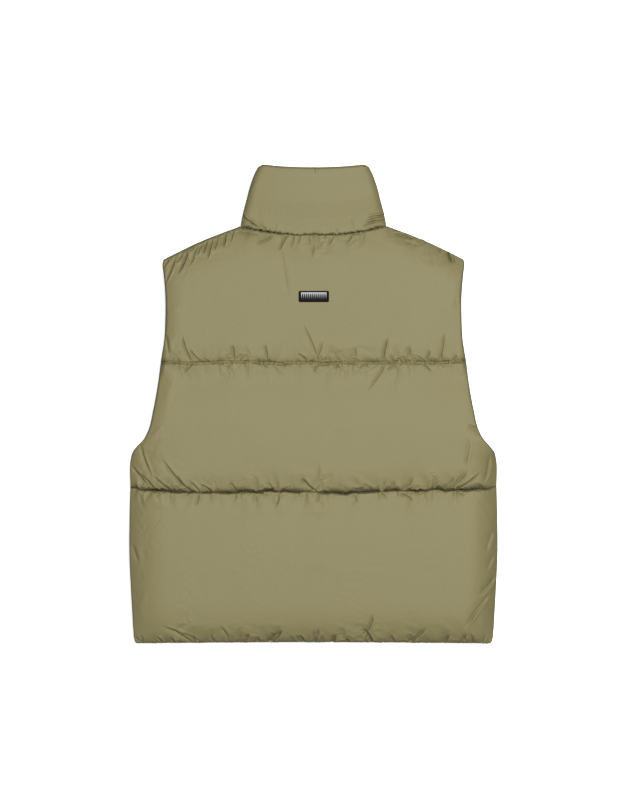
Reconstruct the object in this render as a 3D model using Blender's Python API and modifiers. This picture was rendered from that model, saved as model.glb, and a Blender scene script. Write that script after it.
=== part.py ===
"""A quilted puffer vest, lying face down on a flat surface with its back upwards.

Metres. +X is the wearer's right, +Y runs from the hem to the collar, +Z is up, and the
origin is on the surface, under the middle of the vest.

The vest is cut as a maker cuts it: three padded channels across the back, the same three on
each front, one stand collar that runs round the neck from one front edge to the other, and a
separating zip up the centre front. A badge is sewn below the back of the neck. Each padded
piece is a wall with a plain inside and a crowned outside, thin at its seams and full between
them. Hung up, the filling sinks, so a channel is round at its lower seam and taut under its
upper one. The fronts lie on the surface, which presses them flat, and the back lies on them.
"""

import math
from typing import Callable, NamedTuple

import bmesh
import bpy
import numpy as np
from mathutils import Matrix

# Padding: how thick each wall is between its seams and at a seam.
BACK_FULL = 0.034
FRONT_FULL = 0.026
COLLAR_FULL = 0.017
SEAM_THICK = 0.003
SHALLOW_THICK = 0.021  # at the upper quilting seam, which is drawn in less
NECK_THICK = 0.0095  # below the middle of the collar
SHALLOW_REACH = 0.036  # how far from that seam it is thicker
SHALLOW_FADE = 0.026  # and how far in from its ends
CROWN_POWER = 2.6  # 2 is a quarter ellipse at each edge; more is squarer
CROWN_SHARE = 0.06  # how much lower a channel is beside its seams than along its middle
PRESS = 1.30  # the fronts' crown before the surface flattens it

# Layers, as heights above the surface.
SEAM_GAP = 0.0003  # between pieces that are sewn together
LAYER_GAP = 0.0014  # between the fronts and the back, where the zip's tapes lie
FRONT_INSIDE = FRONT_FULL
BACK_INSIDE = FRONT_INSIDE + LAYER_GAP
MIDDLE = FRONT_INSIDE + LAYER_GAP / 2

# Lengths from hem to collar.
HEM_Y = -0.3655
HEM_RISE = 0.0020  # the hem's middle is this much higher than its corners
LOWER_SEAM_Y = -0.1345
LOWER_SEAM_RISE = 0.0072  # at the side seams
UPPER_SEAM_Y = 0.0635
SHOULDER_TIP_Y = 0.2197
NECK_POINT_Y = 0.2709
BACK_NECK_Y = 0.2580
FRONT_NECK_Y = 0.2160

# Half widths.
SIDE_SEAM_X = 0.280
NECK_POINT_X = 0.112
SHOULDER_TIP_X = 0.230
FRONT_EDGE_X = 0.0075  # the fronts stop short of the zip's teeth
ARMHOLE_SCOOP = 0.011  # the front armhole is cut this much deeper than the back's
SHOULDER_BULGE = 0.003


class EdgePoint(NamedTuple):
    """Half the back's width at one height, down the side seam and round the armhole."""

    y: float
    half_width: float


BACK_EDGE = (
    EdgePoint(-0.3660, 0.2715),
    EdgePoint(-0.3600, 0.2742),
    EdgePoint(-0.3200, 0.2765),
    EdgePoint(-0.2700, 0.2800),
    EdgePoint(-0.2380, 0.2815),
    EdgePoint(-0.1750, 0.2815),
    EdgePoint(-0.1280, 0.2803),
    EdgePoint(-0.0840, 0.2793),
    EdgePoint(-0.0740, 0.2768),
    EdgePoint(-0.0620, 0.2680),
    EdgePoint(-0.0520, 0.2590),
    EdgePoint(-0.0400, 0.2528),
    EdgePoint(-0.0100, 0.2452),
    EdgePoint(0.0300, 0.2381),
    EdgePoint(0.0640, 0.2337),
    EdgePoint(0.0980, 0.2283),
    EdgePoint(0.1300, 0.2266),
    EdgePoint(0.1700, 0.2269),
    EdgePoint(0.2000, 0.2296),
    EdgePoint(0.2140, 0.2311),
    EdgePoint(0.2197, 0.2300),
)
UNDERARM_ROWS = tuple(point.y for point in BACK_EDGE[7:12])  # kept where the armhole bends
ABOVE_UNDERARM_ROW = -0.004


class CollarPoint(NamedTuple):
    """Half the flattened collar's width at one share of its height."""

    height: float
    half_width: float


COLLAR_EDGE = (
    CollarPoint(0.00, 0.1115),
    CollarPoint(0.15, 0.1095),
    CollarPoint(0.43, 0.1030),
    CollarPoint(0.72, 0.0954),
    CollarPoint(0.91, 0.0877),
    CollarPoint(0.97, 0.0840),
    CollarPoint(1.00, 0.0790),
)
COLLAR_CORNER_Y = 0.3660  # the collar's top edge at its side folds
COLLAR_BACK_TOP_Y = 0.3615
COLLAR_FRONT_TOP_Y = 0.3110
COLLAR_INNER_RADIUS = LAYER_GAP / 2
COLLAR_FOLD_SHARE = 0.72  # of the full thickness, where the collar folds at its sides
COLLAR_BASE_SHARE = 0.42  # and along the seam at the back of the neck
COLLAR_DROP_LOWER = 0.0095  # how far the collar's free end sinks to the surface
COLLAR_DROP_UPPER = 0.0065
COLLAR_DROP_FROM = 0.05  # shares of the collar's height
COLLAR_DROP_TO = 0.60

# How far padding takes to reach its full thickness from the simple edges.
FRONT_EDGE_RISE = 0.026
COLLAR_SEAM_RISE = 0.0040
COLLAR_TOP_RISE = 0.008
SLOPE_POWER = 2.6  # how softly a gentle slope ends


class Roll(NamedTuple):
    """How padding leaves one side of a seam: a quick round lip, then a gentle slope."""

    lip: float  # the lip's share of the thickness
    lip_reach: float
    reach: float


class Pair(NamedTuple):
    """One roll for the left half of the vest and one for the right."""

    left: Roll
    right: Roll


HEM_ROLL = Roll(1.0, 0.070, 1.0)
ABOVE_LOWER_ROLL = Roll(0.72, 0.010, 0.043)
BELOW_LOWER_ROLL = Roll(0.66, 0.0035, 0.108)
ABOVE_UPPER_ROLL = Roll(0.74, 0.009, 0.033)
BELOW_UPPER_ROLL = Roll(0.58, 0.005, 0.108)
NECK_ROLL = Roll(0.61, 0.004, 0.057)
SHOULDER_ROLLS = Pair(Roll(0.40, 0.009, 0.075), Roll(0.47, 0.004, 0.062))
SIDE_ROLLS = Pair(Roll(0.19, 0.003, 0.068), Roll(0.12, 0.003, 0.057))
ARMHOLE_ROLLS = Pair(Roll(0.78, 0.005, 0.033), Roll(0.90, 0.005, 0.033))
UNDERARM_BLEND = (-0.090, -0.050)  # from the side seams' rolls to the armholes'
NECK_BLEND = 0.85  # share of the neck point's x where the shoulders' rolls begin

# Where the sections stand, as distances in from an edge.
SIDE_STEPS = (0.0, 0.0015, 0.006, 0.014, 0.027)
SEAM_STEPS = (0.0, 0.0015, 0.006, 0.014, 0.025)
FRONT_STEPS = (0.0, 0.003, 0.012, 0.026)
BACK_COLUMNS = 54
FRONT_COLUMNS = 12
CHANNEL_ROWS = 3
COLLAR_STEPS = (0.0, 0.001, 0.004, 0.010)
COLLAR_ROWS = 3
COLLAR_BENDS = (0.0, 0.12, 0.24, 0.36, 0.48, 0.60, 1.0)  # shares of its height
COLLAR_BACK_COLUMNS = 33


class Gathers(NamedTuple):
    """A row of small gathers that a seam draws into the padding beside it."""

    count: int  # across the whole width
    depth: float  # share of the thickness
    length: float
    half_width: float
    sway: float  # how unevenly they stand, as a share of their spacing
    phase: float


UPPER_SEAM_GATHERS = Gathers(19, 0.16, 0.021, 0.0075, 0.30, 0.4)
LOWER_SEAM_GATHERS = Gathers(20, 0.20, 0.024, 0.0080, 0.32, 2.1)
HEM_GATHERS = Gathers(18, 0.20, 0.026, 0.0085, 0.34, 3.9)
NECK_GATHERS = Gathers(22, 0.16, 0.020, 0.0070, 0.30, 5.2)
COLLAR_GATHERS = Gathers(16, 0.12, 0.016, 0.0070, 0.30, 1.3)


class Fold(NamedTuple):
    """A long soft trough in the back, from where it is deepest to where it fades out."""

    x: float
    y: float
    end_x: float
    end_y: float
    half_width: float
    depth: float


FOLDS = (
    Fold(-0.186, -0.361, -0.226, -0.338, 0.008, 0.0050),
    Fold(-0.062, -0.360, -0.048, -0.346, 0.008, 0.0035),
    Fold(0.078, -0.352, 0.090, -0.322, 0.008, 0.0040),
    Fold(0.146, -0.360, 0.170, -0.341, 0.008, 0.0040),
    Fold(0.280, -0.262, 0.250, -0.292, 0.007, 0.0050),
    Fold(0.270, -0.290, 0.232, -0.337, 0.007, 0.0045),
    Fold(-0.186, -0.133, -0.228, -0.086, 0.007, 0.0050),
    Fold(-0.247, -0.108, -0.263, -0.058, 0.007, 0.0045),
    Fold(-0.253, -0.122, -0.276, -0.094, 0.007, 0.0035),
    Fold(-0.118, -0.132, -0.126, -0.118, 0.008, 0.0035),
    Fold(-0.003, -0.132, -0.020, -0.112, 0.008, 0.0040),
    Fold(0.102, -0.130, 0.112, -0.110, 0.008, 0.0035),
    Fold(0.135, -0.130, 0.152, -0.113, 0.008, 0.0040),
    Fold(0.219, -0.129, 0.252, -0.104, 0.008, 0.0045),
    Fold(0.254, -0.045, 0.232, -0.030, 0.008, 0.0045),
    Fold(0.262, -0.116, 0.267, -0.076, 0.008, 0.0030),
    Fold(0.107, 0.060, 0.082, 0.020, 0.008, 0.0035),
    Fold(0.002, 0.066, -0.014, 0.116, 0.008, 0.0045),
    Fold(-0.183, 0.066, -0.198, 0.100, 0.008, 0.0040),
    Fold(0.105, 0.066, 0.112, 0.096, 0.008, 0.0035),
    Fold(0.190, 0.067, 0.198, 0.104, 0.008, 0.0030),
    Fold(-0.208, 0.222, -0.225, 0.182, 0.008, 0.0045),
    Fold(-0.190, 0.234, -0.204, 0.198, 0.008, 0.0045),
    Fold(-0.156, 0.248, -0.161, 0.222, 0.008, 0.0035),
    Fold(-0.062, 0.254, -0.090, 0.242, 0.008, 0.0035),
    Fold(-0.040, 0.256, -0.050, 0.232, 0.008, 0.0035),
    Fold(0.204, 0.231, 0.215, 0.212, 0.008, 0.0035),
)
FOLD_FADE = 0.010  # how softly a fold ends

# Zip.
TEETH_HALF_WIDTH = 0.0030
TEETH_THICK = 0.0024
TEETH_TOP = 0.0007 - SEAM_GAP  # above the middle of the layers
TAPE_FROM_X = TEETH_HALF_WIDTH + SEAM_GAP
TAPE_TO_X = 0.0150
TAPE_HALF_THICK = 0.0004
BOX_LENGTH = 0.011
BOX_HALF_WIDTH = 0.0045
BOX_THICK = 0.0030

SLIDER_LENGTH = 0.0100
SLIDER_WIDTH = 0.0090
SLIDER_PLATE = 0.0011
SLIDER_TOP_Y = COLLAR_FRONT_TOP_Y - 0.0020
SLIDER_Y = SLIDER_TOP_Y - SLIDER_LENGTH / 2
POST_LENGTH = 0.0026
POST_WIDTH = 0.0030
BRIDGE_OUTER = 0.0030
BRIDGE_INNER = 0.0014
BRIDGE_WIDTH = 0.0016
BRIDGE_SINK = 0.0003  # how far its feet run into the plate
BRIDGE_STEPS = 13

PULL_BAR_RADIUS = 0.0008
PULL_LENGTH = 0.0260
PULL_HALF_WIDTH = 0.0032
PULL_THICK = 0.0014
PULL_EYE_LENGTH = 0.0052
PULL_EYE_HALF_WIDTH = 0.0016
PULL_TIP_CLEAR = 0.0004  # above the surface

# Badge.
BADGE_CENTRE = (0.0005, 0.1625)
BADGE_SIZE = (0.0460, 0.0170, 0.0016)
BADGE_CORNER = 0.0022
INSET_SIZE = (0.0400, 0.0102, 0.0008)
INSET_CORNER = 0.0010
INSET_RAISE_Y = 0.0008  # the inset sits a little above the badge's middle

# Colours are linear.
OLIVE = (0.153, 0.135, 0.063, 1.0)
TAPE_OLIVE = (0.124, 0.108, 0.053, 1.0)
TEETH_OLIVE = (0.120, 0.105, 0.060, 1.0)
BLACK = (0.012, 0.011, 0.011, 1.0)
PEWTER = (0.300, 0.300, 0.310, 1.0)
SILVER = (0.620, 0.620, 0.600, 1.0)
COLLECTION = "puffer_vest"


def through(points, values):
    """A smooth curve through a table's points, read at the given values."""
    at, height = np.array(points, float).T
    slope = np.gradient(height, at)
    values = np.clip(values, at[0], at[-1])
    k = np.clip(np.searchsorted(at, values) - 1, 0, len(at) - 2)
    span = at[k + 1] - at[k]
    t = (values - at[k]) / span
    start = (2 * t**3 - 3 * t**2 + 1) * height[k] + (t**3 - 2 * t**2 + t) * span * slope[k]
    end = (3 * t**2 - 2 * t**3) * height[k + 1] + (t**3 - t**2) * span * slope[k + 1]
    return start + end


def smooth_step(value, low, high):
    """0 below low, 1 above high, and an S curve between."""
    t = np.clip((value - low) / (high - low), 0, 1)
    return t * t * (3 - 2 * t)


def rise(distance, reach):
    """How full the padding is at a distance from a seam: a rounded shoulder, then level."""
    left = 1 - np.clip(distance / reach, 0, 1)
    return np.sqrt(1 - left**CROWN_POWER)


def rolled(distance, roll):
    """How full the padding is at a distance from a seam, on one roll."""
    left = 1 - np.clip(distance / roll.reach, 0, 1)
    slope = 1 - left**SLOPE_POWER
    return roll.lip * rise(distance, roll.lip_reach) + (1 - roll.lip) * slope


def rolled_by_half(distance, pair, x):
    """The same, on the left half's roll or on the right half's."""
    return np.where(x < 0, rolled(distance, pair.left), rolled(distance, pair.right))


def stations(length, low_steps, high_steps, between):
    """Distances along a piece that crowd towards both of its seams."""
    high = length - np.array(high_steps)[::-1]
    middle = np.linspace(low_steps[-1], high[0], between + 2)[1:-1]
    return np.concatenate([low_steps, middle, high])


def back_half_width(y):
    return through(BACK_EDGE, y)


def front_half_width(y):
    """The back's outline, with the armhole cut deeper."""
    bottom = BACK_EDGE[8].y
    share = np.clip((y - bottom) / (SHOULDER_TIP_Y - bottom), 0, 1)
    return back_half_width(y) - ARMHOLE_SCOOP * np.sin(math.pi * share)


def hem(x):
    return HEM_Y + HEM_RISE * (1 - (x / SIDE_SEAM_X) ** 2)


def lower_seam(x):
    return LOWER_SEAM_Y + LOWER_SEAM_RISE * np.abs(x / SIDE_SEAM_X) ** 2.5


def upper_seam(x):
    return UPPER_SEAM_Y + 0 * x


def shoulder(x):
    """The shoulder line, from the neck point down to the armhole, a little bowed."""
    share = np.clip((np.abs(x) - NECK_POINT_X) / (SHOULDER_TIP_X - NECK_POINT_X), 0, 1)
    straight = NECK_POINT_Y + share * (SHOULDER_TIP_Y - NECK_POINT_Y)
    return straight + SHOULDER_BULGE * np.sin(math.pi * share)


def back_neck(x):
    across = np.clip(np.abs(x) / NECK_POINT_X, 0, 1)
    return BACK_NECK_Y + (NECK_POINT_Y - BACK_NECK_Y) * across**2.4


def front_neck(x):
    across = np.clip(np.abs(x) / NECK_POINT_X, 0, 1)
    return FRONT_NECK_Y + (NECK_POINT_Y - FRONT_NECK_Y) * (1 - np.sqrt(1 - across**2.2))


def back_top(x):
    return np.where(np.abs(x) < NECK_POINT_X, back_neck(x), shoulder(x))


def front_top(x):
    return np.where(np.abs(x) < NECK_POINT_X, front_neck(x), shoulder(x))


def gathered(x, distance, row, width=2 * SIDE_SEAM_X):
    """Share of the thickness that a row of gathers takes away, at a distance from its seam."""
    pitch = width / row.count
    taken = np.zeros(np.broadcast(x, distance).shape)
    for i in range(row.count):
        turn = 2.4 * i + row.phase
        centre = -width / 2 + (i + 0.5 + row.sway * math.sin(turn)) * pitch
        lean = 0.35 * math.sin(1.7 * turn)
        across = (x - centre - lean * distance) / row.half_width
        length = row.length * (1 + 0.4 * math.sin(3.1 * turn))
        size = row.depth * (1 + 0.5 * math.sin(4.3 * turn))
        taken += size * np.exp(-(across**2)) * np.exp(-((distance / length) ** 2))
    return taken


def folded(x, y):
    """Depth of the long folds at a place on the back."""
    depth = np.zeros(np.broadcast(x, y).shape)
    for fold in FOLDS:
        along = np.array([fold.end_x - fold.x, fold.end_y - fold.y])
        length = float(np.hypot(*along))
        along /= length
        forward = (x - fold.x) * along[0] + (y - fold.y) * along[1]
        aside = (y - fold.y) * along[0] - (x - fold.x) * along[1]
        reach = smooth_step(forward, -FOLD_FADE, 0)
        reach *= 1 - smooth_step(forward, 0.3 * length, length)
        depth += fold.depth * reach * np.exp(-((aside / fold.half_width) ** 2))
    return depth


def collection(name):
    made = bpy.data.collections.new(name)
    bpy.context.scene.collection.children.link(made)
    return made


def material(name, colour, roughness, metallic=0.0):
    """A Principled BSDF of one colour."""
    made = bpy.data.materials.new(name)
    made.use_nodes = True
    made.diffuse_color = colour
    shader = made.node_tree.nodes["Principled BSDF"]
    shader.inputs["Base Color"].default_value = colour
    shader.inputs["Roughness"].default_value = roughness
    shader.inputs["Metallic"].default_value = metallic
    return made


def object_from(bm, name, finish, smooth_angle=40):
    """A named object in the vest's collection, from a finished bmesh."""
    bmesh.ops.recalc_face_normals(bm, faces=bm.faces)
    mesh = bpy.data.meshes.new(name)
    bm.to_mesh(mesh)
    bm.free()
    mesh.materials.append(finish)
    mesh.shade_smooth()
    mesh.set_sharp_from_angle(angle=math.radians(smooth_angle))
    made = bpy.data.objects.new(name, mesh)
    bpy.data.collections[COLLECTION].objects.link(made)
    return made


def sheet_of(bm, points):
    """A grid of faces whose corners are points[row, column]."""
    rows, columns = points.shape[:2]
    made = bmesh.ops.create_grid(bm, x_segments=columns - 1, y_segments=rows - 1, size=1)
    for vertex, place in zip(made["verts"], points.reshape(-1, 3)):
        vertex.co = place


def panel(name, x, y, thickness, inside, facing, finish):
    """A padded wall: a crowned sheet, a rim down to the plain inside, and that inside."""
    bm = bmesh.new()
    outside = inside + facing * thickness
    sheet_of(bm, np.stack([x, y, outside], axis=-1))
    border = [edge for edge in bm.edges if edge.is_boundary]
    rim = bmesh.ops.extrude_edge_only(bm, edges=border)["geom"]
    for vertex in (item for item in rim if isinstance(item, bmesh.types.BMVert)):
        vertex.co.z = inside
    inner = [item for item in rim if isinstance(item, bmesh.types.BMEdge)]
    bmesh.ops.triangle_fill(bm, edges=inner, use_beauty=True)
    return object_from(bm, name, finish)


def loft(name, rings, finish, smooth_angle=40):
    """A closed solid through rings[section, point], with a flat cap at each end."""
    bm = bmesh.new()
    sheet_of(bm, np.concatenate([rings, rings[:, :1]], axis=1))
    bmesh.ops.remove_doubles(bm, verts=bm.verts, dist=1e-6)
    ends = [edge for edge in bm.edges if edge.is_boundary]
    bmesh.ops.holes_fill(bm, edges=ends, sides=0)
    return object_from(bm, name, finish, smooth_angle)


def seam_rows(length, keep=()):
    """Shares of a channel's height where its rows stand, with some places kept."""
    rows = stations(length, SEAM_STEPS, SEAM_STEPS, CHANNEL_ROWS)
    if keep:
        inner = rows[(rows <= SEAM_STEPS[-1]) | (rows >= length - SEAM_STEPS[-1])]
        rows = np.unique(np.concatenate([inner, keep]))
    return rows / length


def back_columns():
    """Shares of the half width where the back's columns stand, one of them at each neck point."""
    half = SIDE_SEAM_X
    shares = stations(2 * half, SIDE_STEPS, SIDE_STEPS, BACK_COLUMNS) / half - 1
    for neck in (-NECK_POINT_X / SHOULDER_TIP_X, NECK_POINT_X / SHOULDER_TIP_X):
        shares[np.argmin(np.abs(shares - neck))] = neck
    return shares


def front_columns():
    """Shares from the zip's edge to the side edge, one of them at the neck point."""
    length = SIDE_SEAM_X - FRONT_EDGE_X
    shares = stations(length, FRONT_STEPS, SIDE_STEPS, FRONT_COLUMNS) / length
    neck = (NECK_POINT_X - FRONT_EDGE_X) / (SHOULDER_TIP_X - FRONT_EDGE_X)
    shares[np.argmin(np.abs(shares - neck))] = neck
    return shares


class Channel(NamedTuple):
    """One padded channel, between two seams and two side edges."""

    name: str
    low: Callable  # y along its lower seam, worked out from x
    high: Callable  # and along its upper one
    side_low: float  # y where its side edges start and end
    side_high: float
    low_roll: Roll
    high_roll: Roll
    low_thick: float
    high_thick: float
    low_gathers: Gathers
    high_gathers: Gathers


def channels(top):
    """The three channels of a back or a front that ends in the given top line."""
    side_seam_y = LOWER_SEAM_Y + LOWER_SEAM_RISE
    lower_lines = (hem, lower_seam, HEM_Y, side_seam_y)
    lower_rolls = (HEM_ROLL, BELOW_LOWER_ROLL, SEAM_THICK, SEAM_THICK)
    middle_lines = (lower_seam, upper_seam, side_seam_y, UPPER_SEAM_Y)
    middle_rolls = (ABOVE_LOWER_ROLL, BELOW_UPPER_ROLL, SEAM_THICK, SHALLOW_THICK)
    yoke_lines = (upper_seam, top, UPPER_SEAM_Y, SHOULDER_TIP_Y)
    yoke_rolls = (ABOVE_UPPER_ROLL, NECK_ROLL, SHALLOW_THICK, SEAM_THICK)
    return (
        Channel("lower", *lower_lines, *lower_rolls, HEM_GATHERS, LOWER_SEAM_GATHERS),
        Channel("middle", *middle_lines, *middle_rolls, LOWER_SEAM_GATHERS, UPPER_SEAM_GATHERS),
        Channel("yoke", *yoke_lines, *yoke_rolls, UPPER_SEAM_GATHERS, NECK_GATHERS),
    )


def channel_rows(channel):
    """Row shares for a channel. The middle one has rows where its armhole bends."""
    length = channel.side_high - channel.side_low
    if channel.name != "middle":
        return seam_rows(length)
    kept = [y - channel.side_low for y in (*UNDERARM_ROWS, ABOVE_UNDERARM_ROW)]
    return seam_rows(length, kept)


def channel_place(channel, x, rows):
    """y on a grid whose x is known, with half a seam's gap at the two seams."""
    low = channel.low(x) + SEAM_GAP / 2
    high = channel.high(x) - SEAM_GAP / 2
    return low + rows[:, None] * (high - low)


def top_roll(channel, x, from_high):
    """How full a channel is under its upper seam. The yoke's roll changes past the neck."""
    middle = rolled(from_high, channel.high_roll)
    if channel.name != "yoke":
        return middle
    past = smooth_step(np.abs(x), NECK_BLEND * NECK_POINT_X, NECK_POINT_X)
    return middle + past * (rolled_by_half(from_high, SHOULDER_ROLLS, x) - middle)


def side_roll(x, y, from_side):
    """How full a channel is beside its side edges, down a side seam or round an armhole."""
    by_seam = rolled_by_half(from_side, SIDE_ROLLS, x)
    by_armhole = rolled_by_half(from_side, ARMHOLE_ROLLS, x)
    return by_seam + smooth_step(y, *UNDERARM_BLEND) * (by_armhole - by_seam)


def fullness(channel, x, y, from_side):
    """Share of the full thickness on a channel: its crown, less the gathers at its seams."""
    from_low = y - channel.low(x)
    from_high = channel.high(x) - y
    crown = rolled(from_low, channel.low_roll) * top_roll(channel, x, from_high)
    crown *= side_roll(x, y, from_side)
    arch = 4 * from_low * from_high / (from_low + from_high) ** 2
    crown *= 1 - CROWN_SHARE * (1 - arch)
    taken = gathered(x, from_low, channel.low_gathers)
    taken += gathered(x, from_high, channel.high_gathers)
    return crown * (1 - taken)


def least_thickness(channel, x, y, from_side):
    """Thickness of a channel under its crown: a seam's, and more beside the shallow seam."""
    least = SEAM_THICK
    from_low = y - channel.low(x)
    from_high = channel.high(x) - y
    away = smooth_step(from_side, 0, SHALLOW_FADE)
    for distance, thick in ((from_low, channel.low_thick), (from_high, channel.high_thick)):
        near = 1 - smooth_step(distance, 0, SHALLOW_REACH)
        least = least + (thick - SEAM_THICK) * near * away
    if channel.high is back_top:
        near = 1 - smooth_step(from_high, 0, 2 * NECK_THICK)
        beside = 1 - smooth_step(np.abs(x), 0.8 * NECK_POINT_X, NECK_POINT_X)
        least = least + (NECK_THICK - SEAM_THICK) * near * beside
    return least


def make_back(finish):
    """The three channels across the back."""
    columns = back_columns()
    for channel in channels(back_top):
        rows = channel_rows(channel)
        side_y = channel.side_low + rows * (channel.side_high - channel.side_low)
        half = back_half_width(side_y)[:, None]
        x = columns[None, :] * half
        y = channel_place(channel, x, rows)
        full = fullness(channel, x, y, half - np.abs(x))
        least = least_thickness(channel, x, y, half - np.abs(x))
        depth = folded(x, y) * np.clip(full, 0, 1)
        thickness = least + (BACK_FULL - least) * full - depth
        thickness = np.maximum(thickness, SEAM_THICK)
        panel(f"back_{channel.name}", x, y, thickness, BACK_INSIDE, 1, finish)


def make_front(side_name, side, finish):
    """The three channels of one front, pressed flat by the surface under them."""
    columns = front_columns()
    for channel in channels(front_top):
        rows = channel_rows(channel)
        side_y = channel.side_low + rows * (channel.side_high - channel.side_low)
        half = front_half_width(side_y)[:, None]
        x = FRONT_EDGE_X + columns[None, :] * (half - FRONT_EDGE_X)
        y = channel_place(channel, x, rows)
        full = fullness(channel, x, y, half - x)
        full *= rise(x - FRONT_EDGE_X, FRONT_EDGE_RISE)
        least = least_thickness(channel, x, y, np.minimum(half - x, x - FRONT_EDGE_X))
        thickness = least + (FRONT_FULL - least) * np.minimum(PRESS * full, 1)
        name = f"front_{side_name}_{channel.name}"
        panel(name, side * x, y, thickness, FRONT_INSIDE, -1, finish)


class Turn(NamedTuple):
    """One column of the collar, which is a flattened tube that is open at the centre front."""

    across: float  # -1 to 1, from one side fold to the other
    angle: float  # which way its outside faces: up on the back half, down on the front


def collar_turns():
    """The collar's columns, from the left front edge round the back to the right one."""
    fold = np.radians((60, 30, 0, -30, -60))
    x = FRONT_EDGE_X + front_columns() * (SHOULDER_TIP_X - FRONT_EDGE_X)
    front = x[x < NECK_POINT_X - 0.001] / NECK_POINT_X
    back = np.linspace(-1, 1, COLLAR_BACK_COLUMNS)
    turns = [Turn(-across, -math.pi / 2) for across in front]
    turns += [Turn(-1, math.pi + angle) for angle in fold]
    turns += [Turn(across, math.pi / 2) for across in back]
    turns += [Turn(1, angle) for angle in fold]
    turns += [Turn(across, -math.pi / 2) for across in front[::-1]]
    return turns


def collar_ends(turn):
    """y of a column's base and of its top, and how far the column is on the lower side."""
    lower = (1 - math.sin(turn.angle)) / 2
    x = turn.across * NECK_POINT_X
    base = (1 - lower) * back_neck(x) + lower * front_neck(x) + SEAM_GAP
    away = abs(turn.across) ** 2.3
    back = COLLAR_BACK_TOP_Y + (COLLAR_CORNER_Y - COLLAR_BACK_TOP_Y) * away
    front = COLLAR_FRONT_TOP_Y + (COLLAR_CORNER_Y - COLLAR_FRONT_TOP_Y) * away
    return base, (1 - lower) * back + lower * front, lower


def collar_drop(heights):
    """Share of the collar's drop at shares of its height, straight from bend to bend."""
    bends = np.array(COLLAR_BENDS)
    return np.interp(heights, bends, smooth_step(bends, COLLAR_DROP_FROM, COLLAR_DROP_TO))


def collar_section(turn, heights):
    """One section up the collar: points at shares of its height, outside and inside."""
    base, top, lower = collar_ends(turn)
    along = heights * (top - base)
    at_base = COLLAR_BASE_SHARE * smooth_step(math.sin(turn.angle), 0, 1) * (1 - turn.across**8)
    full = at_base + (1 - at_base) * rise(along, COLLAR_SEAM_RISE)
    full *= rise(top - base - along, COLLAR_TOP_RISE)
    full *= 1 - gathered(turn.across * NECK_POINT_X, along, COLLAR_GATHERS, 2 * NECK_POINT_X)
    at_fold = SEAM_THICK + (COLLAR_FULL - SEAM_THICK) * full * COLLAR_FOLD_SHARE
    share = 1 - (1 - COLLAR_FOLD_SHARE) * abs(turn.across) ** 3
    if lower > 0.5:
        share *= rise(abs(turn.across) * NECK_POINT_X - FRONT_EDGE_X, FRONT_EDGE_RISE)
    thickness = SEAM_THICK + (COLLAR_FULL - SEAM_THICK) * full * share
    half = through(COLLAR_EDGE, heights) - COLLAR_INNER_RADIUS - at_fold
    drop = (1 - lower) * COLLAR_DROP_UPPER + lower * COLLAR_DROP_LOWER
    level = MIDDLE - drop * collar_drop(heights)
    outward = np.array([math.cos(turn.angle), 0.0, math.sin(turn.angle)])
    centre = np.stack([turn.across * half, base + along, level], axis=-1)
    inside = centre + COLLAR_INNER_RADIUS * outward
    outside = inside + thickness[:, None] * outward
    outside[:, 2] = np.maximum(outside[:, 2], 0.0)
    return outside, inside


def make_collar(finish):
    """The stand collar: one padded wall round the neck, open at the centre front."""
    length = COLLAR_BACK_TOP_Y - BACK_NECK_Y
    rows = stations(length, COLLAR_STEPS, COLLAR_STEPS, COLLAR_ROWS) / length
    rows = np.unique(np.concatenate([rows, COLLAR_BENDS]).round(5))
    rings = []
    for turn in collar_turns():
        outside, inside = collar_section(turn, rows)
        plain = np.isin(rows, np.array(COLLAR_BENDS).round(5))
        rings.append(np.concatenate([outside, inside[plain][::-1]]))
    loft("collar", np.array(rings), finish)


def zip_level(y):
    """Height of the middle of the zip: level down the body, then sinking with the collar."""
    height = (y - FRONT_NECK_Y) / (COLLAR_FRONT_TOP_Y - FRONT_NECK_Y)
    return MIDDLE - COLLAR_DROP_LOWER * collar_drop(height)


def strip(name, x_from, x_to, low, high, y, finish):
    """A flat strip along the zip, from one x to another, between two heights from its middle."""
    level = zip_level(y)
    corners = ((x_from, low), (x_to, low), (x_to, high), (x_from, high))
    rings = [[(cx, cy, cz + height) for cx, height in corners] for cy, cz in zip(y, level)]
    return loft(name, np.array(rings), finish)


def zip_stations(low, high):
    """Sections along the zip: its ends, and the places where it bends with the collar."""
    bends = FRONT_NECK_Y + np.array(COLLAR_BENDS) * (COLLAR_FRONT_TOP_Y - FRONT_NECK_Y)
    return np.concatenate([[low], bends[bends < high - 0.001], [high]])


def make_zip(tape_finish, teeth_finish):
    """Two tapes, the closed teeth between them, and the box at the bottom."""
    bottom = HEM_Y + HEM_RISE
    box_top = bottom + BOX_LENGTH
    top = COLLAR_FRONT_TOP_Y - SEAM_GAP
    y = zip_stations(box_top + SEAM_GAP, top)
    for side_name, side in (("left", -1), ("right", 1)):
        near, far = sorted((side * TAPE_FROM_X, side * TAPE_TO_X))
        strip(f"zip_tape_{side_name}", near, far, -TAPE_HALF_THICK, TAPE_HALF_THICK, y, tape_finish)
    teeth_top_y = SLIDER_TOP_Y - POST_LENGTH - SEAM_GAP
    y = zip_stations(box_top + SEAM_GAP, teeth_top_y)
    under = TEETH_TOP - TEETH_THICK
    strip("zip_teeth", -TEETH_HALF_WIDTH, TEETH_HALF_WIDTH, under, TEETH_TOP, y, teeth_finish)
    box_z = MIDDLE + TEETH_TOP - BOX_THICK / 2
    box_size = (2 * BOX_HALF_WIDTH, BOX_LENGTH, BOX_THICK)
    box = block("zip_box", box_size, (0, bottom + BOX_LENGTH / 2, box_z), teeth_finish)
    rounded(box, 0.0006, 2)


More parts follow.
